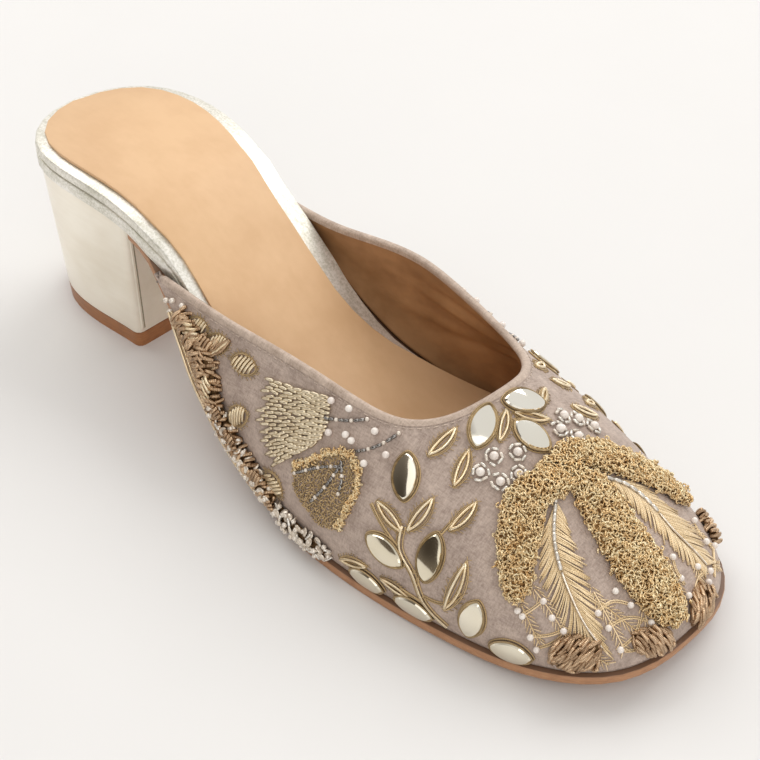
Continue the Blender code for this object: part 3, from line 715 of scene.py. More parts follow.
def crease_height(points, creases):
    """Height of soft ridges and troughs over each point of the face."""
    total = np.zeros(points.shape[:-1])
    for where, level, half_length, half_width, turn, height in creases:
        anchor = upper_point(where, level)
        on, up, _ = upper_frame(where, level)
        away = points - anchor
        x, y = away @ on, away @ up
        c, s = math.cos(math.radians(turn)), math.sin(math.radians(turn))
        long_way, short_way = c * x + s * y, c * y - s * x
        near = np.exp(-(long_way / half_length) ** 2 * 1.5 - (short_way / half_width) ** 2)
        total += height * near
    return total


def make_upper():
    """One wall: outer satin, the rolled collar, and the lining, joined under the feather."""
    stations, outer_rows, roll, inner_rows = 400, 46, 5, 40
    along = np.linspace(WING_LATERAL, WING_MEDIAL, stations)[:, None]
    outer = np.linspace(0, 1, outer_rows)[None]
    inner = np.linspace(1, 0, inner_rows)[None]
    face = upper_point(along, outer)
    normal = upper_frame(along, outer)[2]
    away = np.minimum(1, np.minimum(outer, 1 - outer) * 12)
    face = face + normal * (crease_height(face, CLOTH_CREASES) * away)[..., None]
    back = upper_point(along, inner)
    back_normal = upper_frame(along, inner)[2]
    calm = np.minimum(1, np.minimum(inner, 1 - inner) * 8)
    depth = WALL - crease_height(back, LINING_CREASES) * calm
    back = back - back_normal * depth[..., None]
    turn = np.linspace(0, np.pi, roll + 2)[1:-1][None, :, None]
    collar = upper_point(along, 1.0)
    _, up, out = upper_frame(along, 1.0)
    arc = collar - out * WALL / 2 + WALL / 2 * (np.cos(turn) * out + np.sin(turn) * up)
    rings = np.concatenate([face, arc, back], axis=1)
    count = rings.shape[1]
    heap = Heap().add(rings.reshape(1, -1, 3), strip_faces(stations, count), tone=0.5)
    piece = heap.build("upper_cloth_and_lining", [CLOTH, LINING], "mauve_cloth", ["upper"])
    step = np.arange(count)
    is_lining = (step >= outer_rows + roll // 2) & (step < count - 1)
    sizes = np.zeros(len(piece.data.polygons), int)
    piece.data.polygons.foreach_get("loop_total", sizes)
    finish = np.zeros(len(sizes), int)
    finish[sizes == 4] = np.tile(is_lining, stations - 1)
    piece.data.polygons.foreach_set("material_index", finish)
    piece.data.update()


def make_binding():
    """The satin folded over the collar's edge: a slim roll with a stitched lower edge."""
    stations = 420
    along = np.linspace(WING_LATERAL + 1.0, WING_MEDIAL - 1.0, stations)[:, None]
    collar = upper_point(along, 1.0)
    _, up, out = upper_frame(along, 1.0)
    centre = collar - out * WALL / 2
    half = WALL / 2 + 0.14
    turn = np.linspace(-0.1, np.pi + 0.1, 9)[None, :, None]
    arc = centre + half * (np.cos(turn) * out + np.sin(turn) * up)
    low_out = centre + out * (half + 0.02) - up * 0.9
    low_in = centre - out * (half + 0.02) - up * 0.9
    core = centre - up * 0.7
    rings = np.concatenate([low_out, arc, low_in, core], axis=1)
    heap = Heap().add(rings.reshape(1, -1, 3), strip_faces(stations, rings.shape[1]), tone=0.5)
    heap.build("topline_binding", BINDING, "mauve_cloth", sharp=60)


def make_topline_stitches():
    """Small stitches just under the folded edge."""
    pitch, below = 2.1, 1.5
    along = np.linspace(WING_LATERAL + 6.0, WING_MEDIAL - 6.0, 1200)
    _, up, out = upper_frame(along, 1.0)
    line = upper_point(along, 1.0) - up * below
    reach = distances(line)
    picks = np.searchsorted(reach, np.arange(1.0, reach[-1] - 1.0, pitch))
    ahead = unit(np.gradient(line, axis=0))
    ends = np.linspace(-0.6, 0.6, 3)[None, :, None]
    lines = line[picks][:, None] + ahead[picks][:, None] * ends + out[picks][:, None] * 0.12
    heap = Heap()
    heap.add(*tubes(lines, out[picks][:, None], 0.16, 4))
    heap.build("topline_stitches", SILK, "mauve_cloth")


make_upper()
make_binding()
make_topline_stitches()

# ---- Laying things on the upper --------------------------------------------------------------


def medial(along):
    """The medial place that matches a lateral one; the medial wing is a little shorter."""
    return -along - 0.13 * max(0.0, -along - 112.0)


def mirrored(rows):
    """Rows whose first column is a lateral along, moved to the medial side."""
    return [(medial(along), *rest) for along, *rest in rows]


def both_sides(rows):
    """Lateral rows, and the same rows moved to the medial side."""
    return [*rows, *mirrored(rows)]


# The name of each side, and what moves lateral rows there.
SIDES = (("lateral", list), ("medial", mirrored))


def face_at(along, rise, height=0.0):
    """Points over the face, with the directions on, up and out there."""
    on, up, out = upper_frame(along, rise)
    return upper_point(along, rise) + out * height, on, up, out


def line_over(along, rise):
    """A line of points over the face, with the direction to its left, and outwards."""
    points, _, _, out = face_at(along, rise)
    return points, unit(np.cross(out, np.gradient(points, axis=0))), out


def between(start, end, count):
    """The shortest line between two (along, rise) places, and the share of the way from 0
    to 1."""
    t = np.linspace(0, 1, count)
    along, rise = (first + (last - first) * t for first, last in zip(start, end))
    return *line_over(along, rise), t


def laid_path(rows, step):
    """A smooth line through rows of (along, rise)."""
    return line_over(*spline_path(rows, step).T)


def strand(heap, rows, radius, height, sides=5, step=0.8, shift=0.0):
    """A thread or wire over the face through rows of (along, rise). shift moves it to its
    left."""
    points, side, out = laid_path(rows, step)
    heap.add(*tubes(points + side * shift + out * height, out, radius, sides))


def leaf_outline(length, width, count, taper):
    """A leaf's outline as (forward, sideways) from its middle. taper thins its tips."""
    angle = np.linspace(0, 2 * np.pi, count, endpoint=False)
    wide = np.sign(np.sin(angle)) * np.abs(np.sin(angle)) ** taper
    return np.cos(angle) * length / 2, wide * width / 2


def rods(heap, centres, outs, aheads, length, radius, bow=0.0, rings=4, sides=6):
    """Straight or bowed beads and coil lengths, each along its own direction."""
    t = np.linspace(-0.5, 0.5, rings)
    length = np.broadcast_to(length, len(centres))[:, None, None]
    lines = (centres[:, None] + aheads[:, None] * length * t[None, :, None]
             + outs[:, None] * bow * (1 - 4 * t[None, :, None] ** 2))
    taper = radius * np.where(np.abs(t) > 0.49, 0.85, 1.0)
    heap.add(*tubes(lines, outs[:, None], taper[None], sides))


def turned(first, second, angle):
    """The first direction turned by an angle towards the second."""
    angle = np.asarray(angle, float)[..., None]
    return np.cos(angle) * first + np.sin(angle) * second


def spaced(points, gap):
    """Indices of points that keep at least gap from those picked before them."""
    taken, cells = [], {}
    for i, point in enumerate(points):
        cell = tuple((point // gap).astype(int))
        near = [q for dx in (-1, 0, 1) for dy in (-1, 0, 1) for dz in (-1, 0, 1)
                for q in cells.get((cell[0] + dx, cell[1] + dy, cell[2] + dz), ())]
        if all(((point - q) ** 2).sum() > gap * gap for q in near):
            cells.setdefault(cell, []).append(point)
            taken.append(i)
    return np.array(taken)


# A grid over the face, whose cells are found again from points near it.
COLUMNS, ROWS = 160, 40
GRID = np.meshgrid(np.linspace(WING_LATERAL, WING_MEDIAL, COLUMNS), np.linspace(0, 1, ROWS),
                   indexing="ij")
CELLS = [(k, k + 1, k + ROWS + 1, k + ROWS)
         for i in range(COLUMNS - 1) for k in range(i * ROWS, (i + 1) * ROWS - 1)]
FACE_TREE = BVHTree.FromPolygons(upper_point(*GRID).reshape(-1, 3).tolist(), CELLS)
FACE_OUT = upper_frame(*GRID)[2].reshape(-1, 3)
# Random places tried for each gap by gap of a solid, and of an outline's box.
SOLID_TRIES, OUTLINE_TRIES = 9.0, 10.0


def outward_at(points):
    """The upper's outward direction nearest each point."""
    return FACE_OUT[[CELLS[FACE_TREE.find_nearest(Vector(p))[2]][0] for p in points]]


def scatter(node_name, gap):
    """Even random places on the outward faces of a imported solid, and the directions there."""
    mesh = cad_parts[node_name].data
    mesh.calc_loop_triangles()
    corners = np.zeros(3 * len(mesh.loop_triangles), int)
    mesh.loop_triangles.foreach_get("vertices", corners)
    spots = np.zeros(3 * len(mesh.vertices))
    mesh.vertices.foreach_get("co", spots)
    tri = ((spots.reshape(-1, 3) - SHIFT) / MM)[corners.reshape(-1, 3)]
    across = np.cross(tri[:, 1] - tri[:, 0], tri[:, 2] - tri[:, 0])
    normal, face_out = unit(across), outward_at(tri.mean(axis=1))
    area = np.linalg.norm(across, axis=-1) / 2
    area = np.where((normal * face_out).sum(-1) > -0.25, area, 0.0)
    tries = round(area.sum() / gap ** 2 * SOLID_TRIES)
    picks = rng.choice(len(area), tries, p=area / area.sum())
    a, b = rng.random((2, len(picks)))
    over = a + b > 1
    a, b = np.where(over, 1 - a, a)[:, None], np.where(over, 1 - b, b)[:, None]
    t = tri[picks]
    places = t[:, 0] + (t[:, 1] - t[:, 0]) * a + (t[:, 2] - t[:, 0]) * b
    outs = unit(normal[picks] + 0.7 * face_out[picks])
    kept = spaced(places, gap)
    return places[kept], outs[kept]


def inside(outline, gap):
    """Even random (along, rise) places inside an outline on the face."""
    outline = np.array(outline, float)
    low, high = outline.min(axis=0), outline.max(axis=0)
    reach = np.linalg.norm(np.ptp(upper_point(outline[:, 0], outline[:, 1]), axis=0))
    tries = round((reach / gap) ** 2 * OUTLINE_TRIES)
    spots = low + (high - low) * rng.random((tries, 2))
    x, y = spots.T
    ends = np.roll(outline, -1, axis=0)
    crossed = np.zeros(len(spots), bool)
    for (ax, ay), (bx, by) in zip(outline, ends):
        hit = (ay > y) != (by > y)
        rise_step = by - ay if by != ay else 1e-9
        crossed ^= hit & (x < (bx - ax) * (y - ay) / rise_step + ax)
    spots = spots[crossed]
    return spots[spaced(upper_point(spots[:, 0], spots[:, 1]), gap)]


# ---- Coil work --------------------------------------------------------------------------------

TOE_BANDS = ("coil_band_lateral", "coil_band_centre", "coil_band_medial")
TOE_TUFTS = ("coil_tuft_lateral_1", "coil_tuft_lateral_2", "coil_tuft_medial_1",
             "coil_tuft_medial_2")
TUFT_SLANTS = (0.9, -0.7, 0.7, -0.9)  # radians between a tuft's coils and its long way
# Layers of coils on a band: (gap, height, radius of a curl, radius of its wire, lean)
BAND_LAYERS = ((0.62, 0.12, 0.50, 0.235, 1.0), (1.0, 0.5, 0.56, 0.25, 1.4))
KNOT_CURLS = 5  # heaped on each knot
CROWN_LAYERS = (0.3, 1.0, 1.7)  # heights of the curls over the crown
# Outline of the crown where the three bands meet: (along, rise)
CROWN = ((-27.0, 0.74), (-20.0, 0.76), (-13.0, 0.765), (-6.0, 0.775), (2.0, 0.77),
         (9.0, 0.745), (4.0, 0.69), (-4.0, 0.665), (-12.0, 0.655), (-18.0, 0.66), (-22.0, 0.70))


def curls(heap, centres, outs, radius, wire_radius, lean, arc=3.4):
    """Short curled lengths of coil, each standing as a small arch that leans its own way.
    arc is how far it turns, in radians."""
    side = unit(np.cross(outs, np.array([0.4, -0.7, 0.6])))
    other = np.cross(outs, side)
    spin = rng.random(len(centres)) * 2 * np.pi
    foot = turned(side, other, spin)
    crest = unit(turned(outs, turned(side, other, spin + np.pi / 2),
                        (rng.random(len(centres)) - 0.5) * 2 * lean))
    radius = radius * (0.75 + 0.5 * rng.random(len(centres)))[:, None, None]
    t = (np.linspace(-0.5, 0.5, 5) * arc)[None, :, None]
    lines = centres[:, None] + radius * (np.cos(t) * crest[:, None] + np.sin(t) * foot[:, None])
    heap.add(*tubes(lines, np.cross(crest, foot)[:, None], wire_radius, 5))


def make_coil_work():
    """Cut coils stitched down close together over each padded band, some in higher knots."""
    for node_name in TOE_BANDS:
        heap = Heap()
        for gap, lift, radius, wire_radius, lean in BAND_LAYERS:
            places, outs = scatter(node_name, gap)
            curls(heap, places + outs * lift, outs, radius, wire_radius, lean)
        knots, outs = scatter(node_name, 2.4)
        for _ in range(KNOT_CURLS):
            shift = rng.normal(0, 0.42, knots.shape)
            curls(heap, knots + shift + outs * 0.7, outs, radius=0.5, wire_radius=0.25,
                  lean=1.4)
        if node_name == "coil_band_centre":
            places, _, _, outs = face_at(*inside(CROWN, 0.66).T)
            for lift in CROWN_LAYERS:
                curls(heap, places + outs * lift, outs, radius=0.52, wire_radius=0.24,
                      lean=1.4)
        heap.build(node_name + "_coils", COIL)


def make_tufts():
    """Bunches of longer coils laid side by side, aslant, at the edge of the toe."""
    heap = Heap()
    for node_name, slant in zip(TOE_TUFTS, TUFT_SLANTS):
        for gap, lift in ((1.2, 0.15), (2.0, 0.5)):
            places, outs = scatter(node_name, gap)
            places = places + (places.mean(axis=0) - places) * 0.08  # in from the edge
            middle = places.mean(axis=0)
            long_way = np.linalg.svd(places - middle)[2][0]
            side = unit(np.cross(outs, long_way))
            ahead = np.cross(side, outs)
            slants = slant + rng.normal(0, 0.13, len(places))
            rods(heap, places + outs * lift, outs, turned(ahead, side, slants),
                 length=3.1 + 0.8 * rng.random(len(places)), radius=0.54, bow=0.4, rings=6,
                 sides=7)
    heap.build("toe_tuft_bullions", DARK_COIL)


# These beds show through the gaps between the coils, darkened there as painted shade.
for node_name in TOE_BANDS:
    dress(node_name, COIL_BED_WITH_GAP_SHADE)
for node_name in (*TOE_TUFTS, "coil_vine_lateral", "coil_vine_medial", "sequin_edge_lateral",
                  "sequin_edge_medial"):
    dress(node_name, DARK_BED_WITH_GAP_SHADE)
make_coil_work()
make_tufts()

# ---- Edge vine and sequin chain ---------------------------------------------------------------

# (along, rise) of the raised vine along the wing, lateral side
VINE = (
    (-181.0, 0.50), (-175.0, 0.44), (-169.5, 0.40), (-165.0, 0.28), (-161.0, 0.14),
    (-157.5, 0.09), (-151.0, 0.085), (-142.0, 0.095), (-131.0, 0.085),
)
# (along, rise, height) of the pale cord along the vine's lower edge
EDGE_CORD = (
    (-183.5, 0.22, 1.5), (-179.0, 0.20, 2.3), (-173.0, 0.17, 3.3), (-168.0, 0.12, 3.9),
    (-162.0, 0.05, 4.0), (-156.0, 0.03, 4.0), (-148.0, 0.03, 3.8), (-138.0, 0.04, 3.4),
    (-131.0, 0.05, 2.8),
)
# Sprigs that branch off the vine: (along, rise) of the root and of the tip
SPRIGS = (
    ((-176.0, 0.46), (-177.5, 0.60)), ((-172.0, 0.44), (-171.0, 0.68)),
    ((-168.0, 0.46), (-167.0, 0.74)), ((-166.0, 0.52), (-163.5, 0.84)),
    ((-167.0, 0.44), (-165.0, 0.66)), ((-166.0, 0.32), (-162.5, 0.49)),
    ((-162.0, 0.22), (-160.0, 0.40)), ((-163.0, 0.16), (-161.0, 0.28)),
)
# Small leaves of coils between the vine and the topline: (along, rise, length, turn)
WING_LEAVES = ((-156.0, 0.725, 9.0, 15.0), (-150.5, 0.32, 8.0, 58.0),
               (-131.5, 0.20, 7.6, -8.0), (-175.0, 0.60, 7.5, 30.0),
               (-167.0, 0.66, 8.0, 40.0))
# Bigger leaves that make up the vine, in the same columns and with their height
VINE_LEAVES = (
    (-179.0, 0.48, 6.5, 20.0, 1.8), (-174.0, 0.52, 7.0, -25.0, 2.2),
    (-169.5, 0.56, 7.5, 30.0, 2.2), (-166.5, 0.36, 7.5, -60.0, 2.8),
    (-161.5, 0.24, 7.5, -65.0, 2.9), (-157.0, 0.16, 7.0, 20.0, 2.8),
    (-149.5, 0.13, 7.0, 28.0, 2.8), (-142.5, 0.08, 6.5, -16.0, 2.7),
    (-137.0, 0.14, 6.5, 30.0, 2.5), (-131.5, 0.08, 6.5, -10.0, 2.3),
)
MEDIAL_VINE = 0.94  # length of the medial vine over that of the lateral one
# (along, rise) of the beads at the tip of the wing
WING_BEADS = ((-186.5, 0.30), (-185.5, 0.55), (-184.0, 0.12), (-182.5, 0.72), (-181.5, 0.20))


def coil_leaf(coils, along, rise, length, turn, height=0.45, strands=6, wide=2.5, thick=0.45):
    """A leaf of slanted coils laid side by side, shorter towards both tips."""
    way = math.radians(turn)
    marks = np.linspace(-0.36, 0.36, strands)
    for mark, reach in zip(marks * length, wide * (1 - (2 * marks) ** 2 * 0.75)):
        t = np.linspace(-1, 1, 5)
        line, out = laid(along, rise, way, mark + 0.55 * reach * t, reach * t,
                         height + 0.38 * (1 - t * t))
        coils.add(*tubes(line, out, thick, 6))


def fringe(heap, line, side, out, slant):
    """Fine stitches that stand off an outline, slanted along it. side points away from it."""
    ahead = unit(np.gradient(line, axis=0))
    way = turned(side, ahead, slant + rng.normal(0, 0.25, len(line)))
    reach = 0.9 + 0.5 * rng.random(len(line))
    rods(heap, line + way * reach[:, None] / 2, out, way, length=reach, radius=0.11, bow=0.08,
         rings=3, sides=4)


def make_wing_leaves():
    """Slanted coils inside an outline of stitches, and clear beads at the wing's tip."""
    coils, stitches, clear = Heap(), Heap(), Heap()
    rows = [*WING_LEAVES, *((medial(a), r, n, 180 - t) for a, r, n, t in WING_LEAVES)]
    for along, rise, length, turn in rows:
        coil_leaf(coils, along, rise, length, turn)
        forward, sideways = leaf_outline(length, 5.4, 24, 1.4)
        for size in (1.0, 1.13):
            line, out = laid(along, rise, math.radians(turn), forward * size, sideways * size,
                             0.2)
            stitches.add(*tubes(line, out, 0.2, 4, loop=True))
        fringe(stitches, line, unit(line - line.mean(axis=0)), out, 0.5)
    centres, _, _, out = face_at(*np.array(both_sides(WING_BEADS)).T, 0.7)
    beads(clear, centres, out, radius=0.9)
    coils.build("wing_leaf_bullions", PALE_COIL)
    stitches.build("wing_leaf_stitches", DULL_THREAD)
    clear.build("wing_tip_beads", CLEAR_BEAD)


def make_vine(side_name, move):
    """Dark coils slanted to both sides of the vine, with its leaves, sprigs and pale cord."""
    coils, pale = Heap(), Heap()
    medial_side = side_name == "medial"
    stretch = -MEDIAL_VINE if medial_side else 1.0
    points, side, _ = laid_path([(stretch * along, rise) for along, rise in VINE], 0.75)
    ahead = np.gradient(points, axis=0)
    for number, (along, rise, length, turn, height) in enumerate(VINE_LEAVES):
        coil_leaf(pale if number % 3 == 1 else coils, stretch * along, rise, length,
                  180 - turn if medial_side else turn, height=height + 0.35, strands=5,
                  wide=2.2, thick=0.50)
    places, outs = scatter(f"coil_vine_{side_name}", 1.4)
    near = np.argmin(((places[:, None] - points[None]) ** 2).sum(-1), axis=1)
    across = ((places - points[near]) * side[near]).sum(-1)
    way = unit(ahead[near] - outs * (ahead[near] * outs).sum(-1, keepdims=True))
    slant = np.where(across > 0, 1.2, -1.2) + rng.normal(0, 0.2, len(places))
    way = turned(way, np.cross(outs, way), slant)
    rods(coils, places + outs * 0.2, outs, way, length=2.7 + 0.9 * rng.random(len(places)),
         radius=0.64, bow=0.3, rings=5, sides=7)
    for drop in (0.0, 0.9):
        cord = [(stretch * along, rise, height - drop) for along, rise, height in EDGE_CORD]
        path = spline_path(cord, 0.8)
        line, _, _, out = face_at(path[:, 0], path[:, 1], path[:, 2:])
        pale.add(*tubes(line, out, 0.42, 6))
    for sprig in SPRIGS:
        line, side, out, t = between(*move(sprig), 8)
        length = np.linalg.norm(line[-1] - line[0])
        arch = np.sin(np.pi * t)[:, None]
        for spread, heap in ((-0.9, coils), (0.0, pale), (0.9, coils)):
            bend = spread * arch * min(1.0, length / 7)
            heap.add(*tubes(line + side * bend + out * (0.75 + 0.5 * arch), out, 0.48, 6))
    coils.build(f"vine_bullions_{side_name}", DARK_COIL)
    pale.build(f"vine_sprigs_{side_name}", PALE_COIL)


def make_sequins(side_name):
    """Cup sequins, clear beads and short bugles crowded along the lower edge."""
    cups, clear, bugles = Heap(), Heap(), Heap()
    chain = f"sequin_edge_{side_name}"
    places, outs = scatter(chain, 1.75)
    tilt = rng.normal(0, 0.35, outs.shape)
    beads(cups, places + outs * 0.35, unit(outs + tilt), radius=1.4, flat=0.25, rings=5,
          sides=11)
    places, outs = scatter(chain, 1.8)
    beads(clear, places + outs * 0.85, outs, radius=0.75)
    places, outs = scatter(chain, 2.4)
    side = unit(np.cross(outs, rng.normal(0, 1, outs.shape)))
    rods(bugles, places + outs * 0.6, outs, side, length=2.3, radius=0.40)
    places, outs = scatter(f"coil_vine_{side_name}", 1.8)
    front = places[:, 0] > np.quantile(places[:, 0], 0.5)
    places, outs = places[front], outs[front]
    tilt = rng.normal(0, 0.4, outs.shape)
    beads(cups, places + outs * 0.7, unit(outs + tilt), radius=1.3, flat=0.25, rings=5,
          sides=11)
    beads(clear, places[::2] + outs[::2] * 1.2, outs[::2], radius=0.68)
    side = unit(np.cross(outs, tilt))
    rods(bugles, places[::3] + outs[::3], outs[::3], side[::3], length=2.3, radius=0.40)
    cups.build(f"edge_sequins_{side_name}", SEQUIN)
    clear.build(f"edge_beads_{side_name}", CLEAR_BEAD)
    bugles.build(f"edge_bugles_{side_name}", SILVER)


make_wing_leaves()
for side_name, move in SIDES:
    make_vine(side_name, move)
    make_sequins(side_name)

# ---- Mirror leaves ----------------------------------------------------------------------------

# (along, rise, length, turn in degrees) of each mirror leaf
THROAT_LEAVES = ((-46.0, 0.925, 12.4, -130.0), (1.0, 0.93, 13.0, -38.0),
                 (-15.0, 0.835, 11.8, -72.0))
SIDE_LEAVES = (
    (-86.0, 0.75, 12.8, -78.0), (-89.0, 0.35, 13.0, -15.0), (-74.0, 0.42, 13.6, -90.0),
    (-62.0, 0.185, 11.6, -98.0), (-95.0, 0.062, 12.0, 0.0), (-80.0, 0.062, 12.6, 0.0),
    (-52.0, 0.07, 12.0, 0.0),
)
LEAF_WIDTH = 7.0
LEAF_POINTS = 40
# (share of the outline, height) of the rings of a leaf, from its foot to its flat top
LEAF_RINGS = ((0.90, 0.25), (0.90, 1.02), (0.82, 1.42), (0.50, 1.56), (0.14, 1.60))


def make_leaves():
    """Flat mirror leaves with a ground edge, each held by a coil of wire."""
    mirrors, rims, threads = Heap(), Heap(), Heap()
    leaves = [*THROAT_LEAVES, *SIDE_LEAVES, *((-a, r, n, 180 - t) for a, r, n, t in SIDE_LEAVES)]
    for number, (along, rise, length, turn) in enumerate(leaves):
        way = math.radians(turn)
        forward, sideways = leaf_outline(length, LEAF_WIDTH, LEAF_POINTS, 1.35)
        rings = [laid(along, rise, way, forward * share, sideways * share * 0.98, height)[0]
                 for share, height in LEAF_RINGS]
        # Throat mirrors take the palest tone and side mirrors darker ones: painted reflection of
        # the darker surroundings the side mirrors face. Among the side ones the tone varies at
        # random.
        tone = 1.0 if number < len(THROAT_LEAVES) else (number * 0.37) % 0.6
        mirrors.add(np.concatenate(rings), strip_faces(len(LEAF_RINGS), LEAF_POINTS), tone=tone)
        # Its dark wire is painted shade for the shadow line round the mirror.
        rim, out = laid(along, rise, way, forward * 0.945, sideways * 0.955, 0.92)
        rims.add(*tubes(rim, out, 0.28, 6, loop=True))
        low, out = laid(along, rise, way, forward, sideways * 1.06, 0.28)
        threads.add(*tubes(low, out, 0.24, 5, loop=True))
    names = ([f"mirror_leaf_throat_{k}" for k in (1, 2, 3)]
             + [f"mirror_leaf_{s}_{k}" for s in ("lateral", "medial") for k in range(1, 8)])
    mirrors.build("mirror_leaves", MIRROR, "mirror", names, sharp=28)
    rims.build("mirror_leaf_rims", SHADED_BEZEL)
    threads.build("mirror_leaf_threads", DULL_THREAD)


make_leaves()

# ---- Stitched leaves, stems, pearls and beads --------------------------------------------------

# Leaves of two bowed coils: (along, rise) of both tips. Side ones repeat on the medial side.
THROAT_WIRE_LEAVES = (
    ((-37.0, 0.86), (-23.0, 0.94)), ((-17.0, 0.92), (7.0, 0.84)), ((14.0, 0.885), (34.0, 0.90)),
    ((38.0, 0.78), (47.0, 0.66)),
)
SIDE_WIRE_LEAVES = (
    ((-78.0, 0.86), (-65.0, 0.95)), ((-65.0, 0.74), (-57.0, 0.86)),
    ((-94.0, 0.58), (-84.0, 0.49)), ((-82.0, 0.51), (-74.0, 0.68)),
    ((-67.0, 0.57), (-56.0, 0.68)), ((-104.0, 0.09), (-95.0, 0.17)),
    ((-90.0, 0.15), (-81.0, 0.12)), ((-70.0, 0.18), (-62.0, 0.45)),
)
# (along, rise) of the stem on each side, and of the branches that leave it
STEM = ((-84.0, 0.52), (-84.0, 0.39), (-80.0, 0.30), (-77.5, 0.18), (-75.0, 0.11),
        (-70.0, 0.04))
BRANCHES = (((-84.0, 0.40), (-90.0, 0.47), (-96.0, 0.56)), ((-80.0, 0.30), (-72.0, 0.34)),
            ((-77.0, 0.18), (-70.0, 0.20), (-64.0, 0.30)), ((-76.0, 0.14), (-84.0, 0.16)),
            ((-78.0, 0.24), (-76.0, 0.42), (-66.0, 0.60)))
# (along, rise) of the pearls: in a ring of bugles, bare beside the throat, and on the toe
RING_PEARLS = ((-43.0, 0.82), (-29.0, 0.81), (-52.0, 0.78), (-43.0, 0.74), (-33.0, 0.75),
               (19.0, 0.81), (7.0, 0.80), (13.0, 0.745), (27.0, 0.76), (31.0, 0.70))
THROAT_PEARLS = ((-124.0, 0.93), (-117.0, 0.95), (-120.0, 0.76), (-114.0, 0.81),
                 (-111.0, 0.80), (-104.0, 0.91), (-96.0, 0.82), (-103.0, 0.73))
TOE_PEARLS = (
    (-20.0, 0.36), (-18.0, 0.30), (-27.0, 0.31), (-15.0, 0.21), (-26.0, 0.25), (-25.0, 0.15),
    (-47.0, 0.29), (-39.0, 0.30), (-37.0, 0.25), (-46.0, 0.20), (-45.0, 0.14), (-40.0, 0.36),
    (-48.0, 0.31), (3.0, 0.34), (0.5, 0.27), (-0.5, 0.20), (11.0, 0.19), (8.0, 0.17),
    (8.0, 0.25), (22.0, 0.17), (19.0, 0.24), (23.0, 0.30),
)
RING_BUGLES = 6  # round each ringed pearl
# Lines of dark bugles and clear beads, lateral side: (along, rise)
BUGLE_LINES = (
    ((-123.0, 0.82), (-115.0, 0.89), (-109.0, 0.95)),
    ((-107.0, 0.77), (-101.0, 0.84), (-94.0, 0.94)),
    ((-111.0, 0.64), (-117.0, 0.57), (-125.0, 0.42)),
    ((-111.0, 0.64), (-113.0, 0.50), (-116.0, 0.36)),
    ((-111.0, 0.66), (-108.5, 0.58), (-108.0, 0.50)),
)


def wire_leaf(coils, threads, start, end):
    """Two bowed coils that meet at both tips, inside an outline of stitches."""
    line, side, out, t = between(start, end, 11)
    bow = (1 - (2 * t - 1) ** 2)[:, None]
    length = np.linalg.norm(line[-1] - line[0])
    wide = min(1.1, length * 0.105)
    for way, share in ((1, 1.0), (-1, 0.95)):
        coils.add(*tubes(line + side * way * wide * bow * share + out * 0.5, out, 0.42, 6))
    longer = line + (t - 0.5)[:, None] * (line[-1] - line[0]) * 0.14
    for reach in (-2.1, -1.65, -0.35, 0.35, 1.65, 2.1):
        threads.add(*tubes(longer + side * reach * wide * bow + out * 0.18, out, 0.16, 4))
    for way in (1.0, -1.0):
        fringe(threads, longer + side * way * 2.1 * wide * bow + out * 0.12, side * way, out,
               0.6)


def make_wire_leaves():
    """Leaves of bowed coils, and the stitched stems that join them."""
    coils, threads, stems = Heap(), Heap(), Heap()
    for start, end in (*THROAT_WIRE_LEAVES, *SIDE_WIRE_LEAVES,
                       *map(mirrored, SIDE_WIRE_LEAVES)):
        wire_leaf(coils, threads, start, end)
    for rows in (STEM, mirrored(STEM)):
        strand(stems, rows, radius=0.45, height=0.45, sides=6)
        for shift in (-0.9, 0.9):
            strand(threads, rows, radius=0.24, height=0.2, sides=4, step=1.0, shift=shift)
    for rows in (*BRANCHES, *map(mirrored, BRANCHES)):
        strand(threads, rows, radius=0.28, height=0.24)
        strand(threads, rows, radius=0.22, height=0.2, sides=4, step=1.0, shift=0.6)
    coils.build("wire_leaves", PALE_COIL)
    threads.build("leaf_stitches", DULL_THREAD)
    stems.build("leaf_stems", PALE_COIL)


def make_pearls():
    """Pearls, some in a ring of bugles, and lines of dark bugles with clear beads."""
    pearls, rings, clear, dark = Heap(), Heap(), Heap(), Heap()
    centres, on, up, out = face_at(*np.array(RING_PEARLS).T, 0.9)
    beads(pearls, centres, out, radius=1.2, rings=8, sides=14)
    for k in range(RING_BUGLES):
        angle = 2 * np.pi * k / RING_BUGLES + np.arange(len(out)) + rng.normal(0, 0.12, len(out))
        spoke = turned(on, up, angle)
        side = turned(on, up, angle + np.pi / 2 + rng.normal(0, 0.2, len(out)))
        reach = 1.95 + rng.normal(0, 0.1, len(out))[:, None]
        rods(rings if k % 3 else clear, centres + spoke * reach - out * 0.35, out, side,
             length=1.8, radius=0.46)
    for rows, size in ((both_sides(THROAT_PEARLS), 1.02), (TOE_PEARLS, 0.9)):
        centres, _, _, out = face_at(*np.array(rows).T, size * 0.7)
        beads(pearls, centres, out, size, rings=8, sides=12)
    for rows in (*BUGLE_LINES, *map(mirrored, BUGLE_LINES)):
        points, side, out = laid_path(rows, 1.45)
        ahead = np.cross(side, out)
        kind = np.arange(len(points)) % 3
        lift = points + out * 0.55
        rods(dark, lift[kind < 2], out[kind < 2], ahead[kind < 2], length=1.4, radius=0.5)
        beads(clear, lift[kind == 2], out[kind == 2], radius=0.62)
    pearls.build("pearls", PEARL)
    rings.build("pearl_ring_bugles", SILVER)
    clear.build("clear_beads", CLEAR_BEAD)
    dark.build("dark_bugles", GUNMETAL)


make_wire_leaves()
make_pearls()

# ---- Fan of bugles and chain-stitched dome -----------------------------------------------------

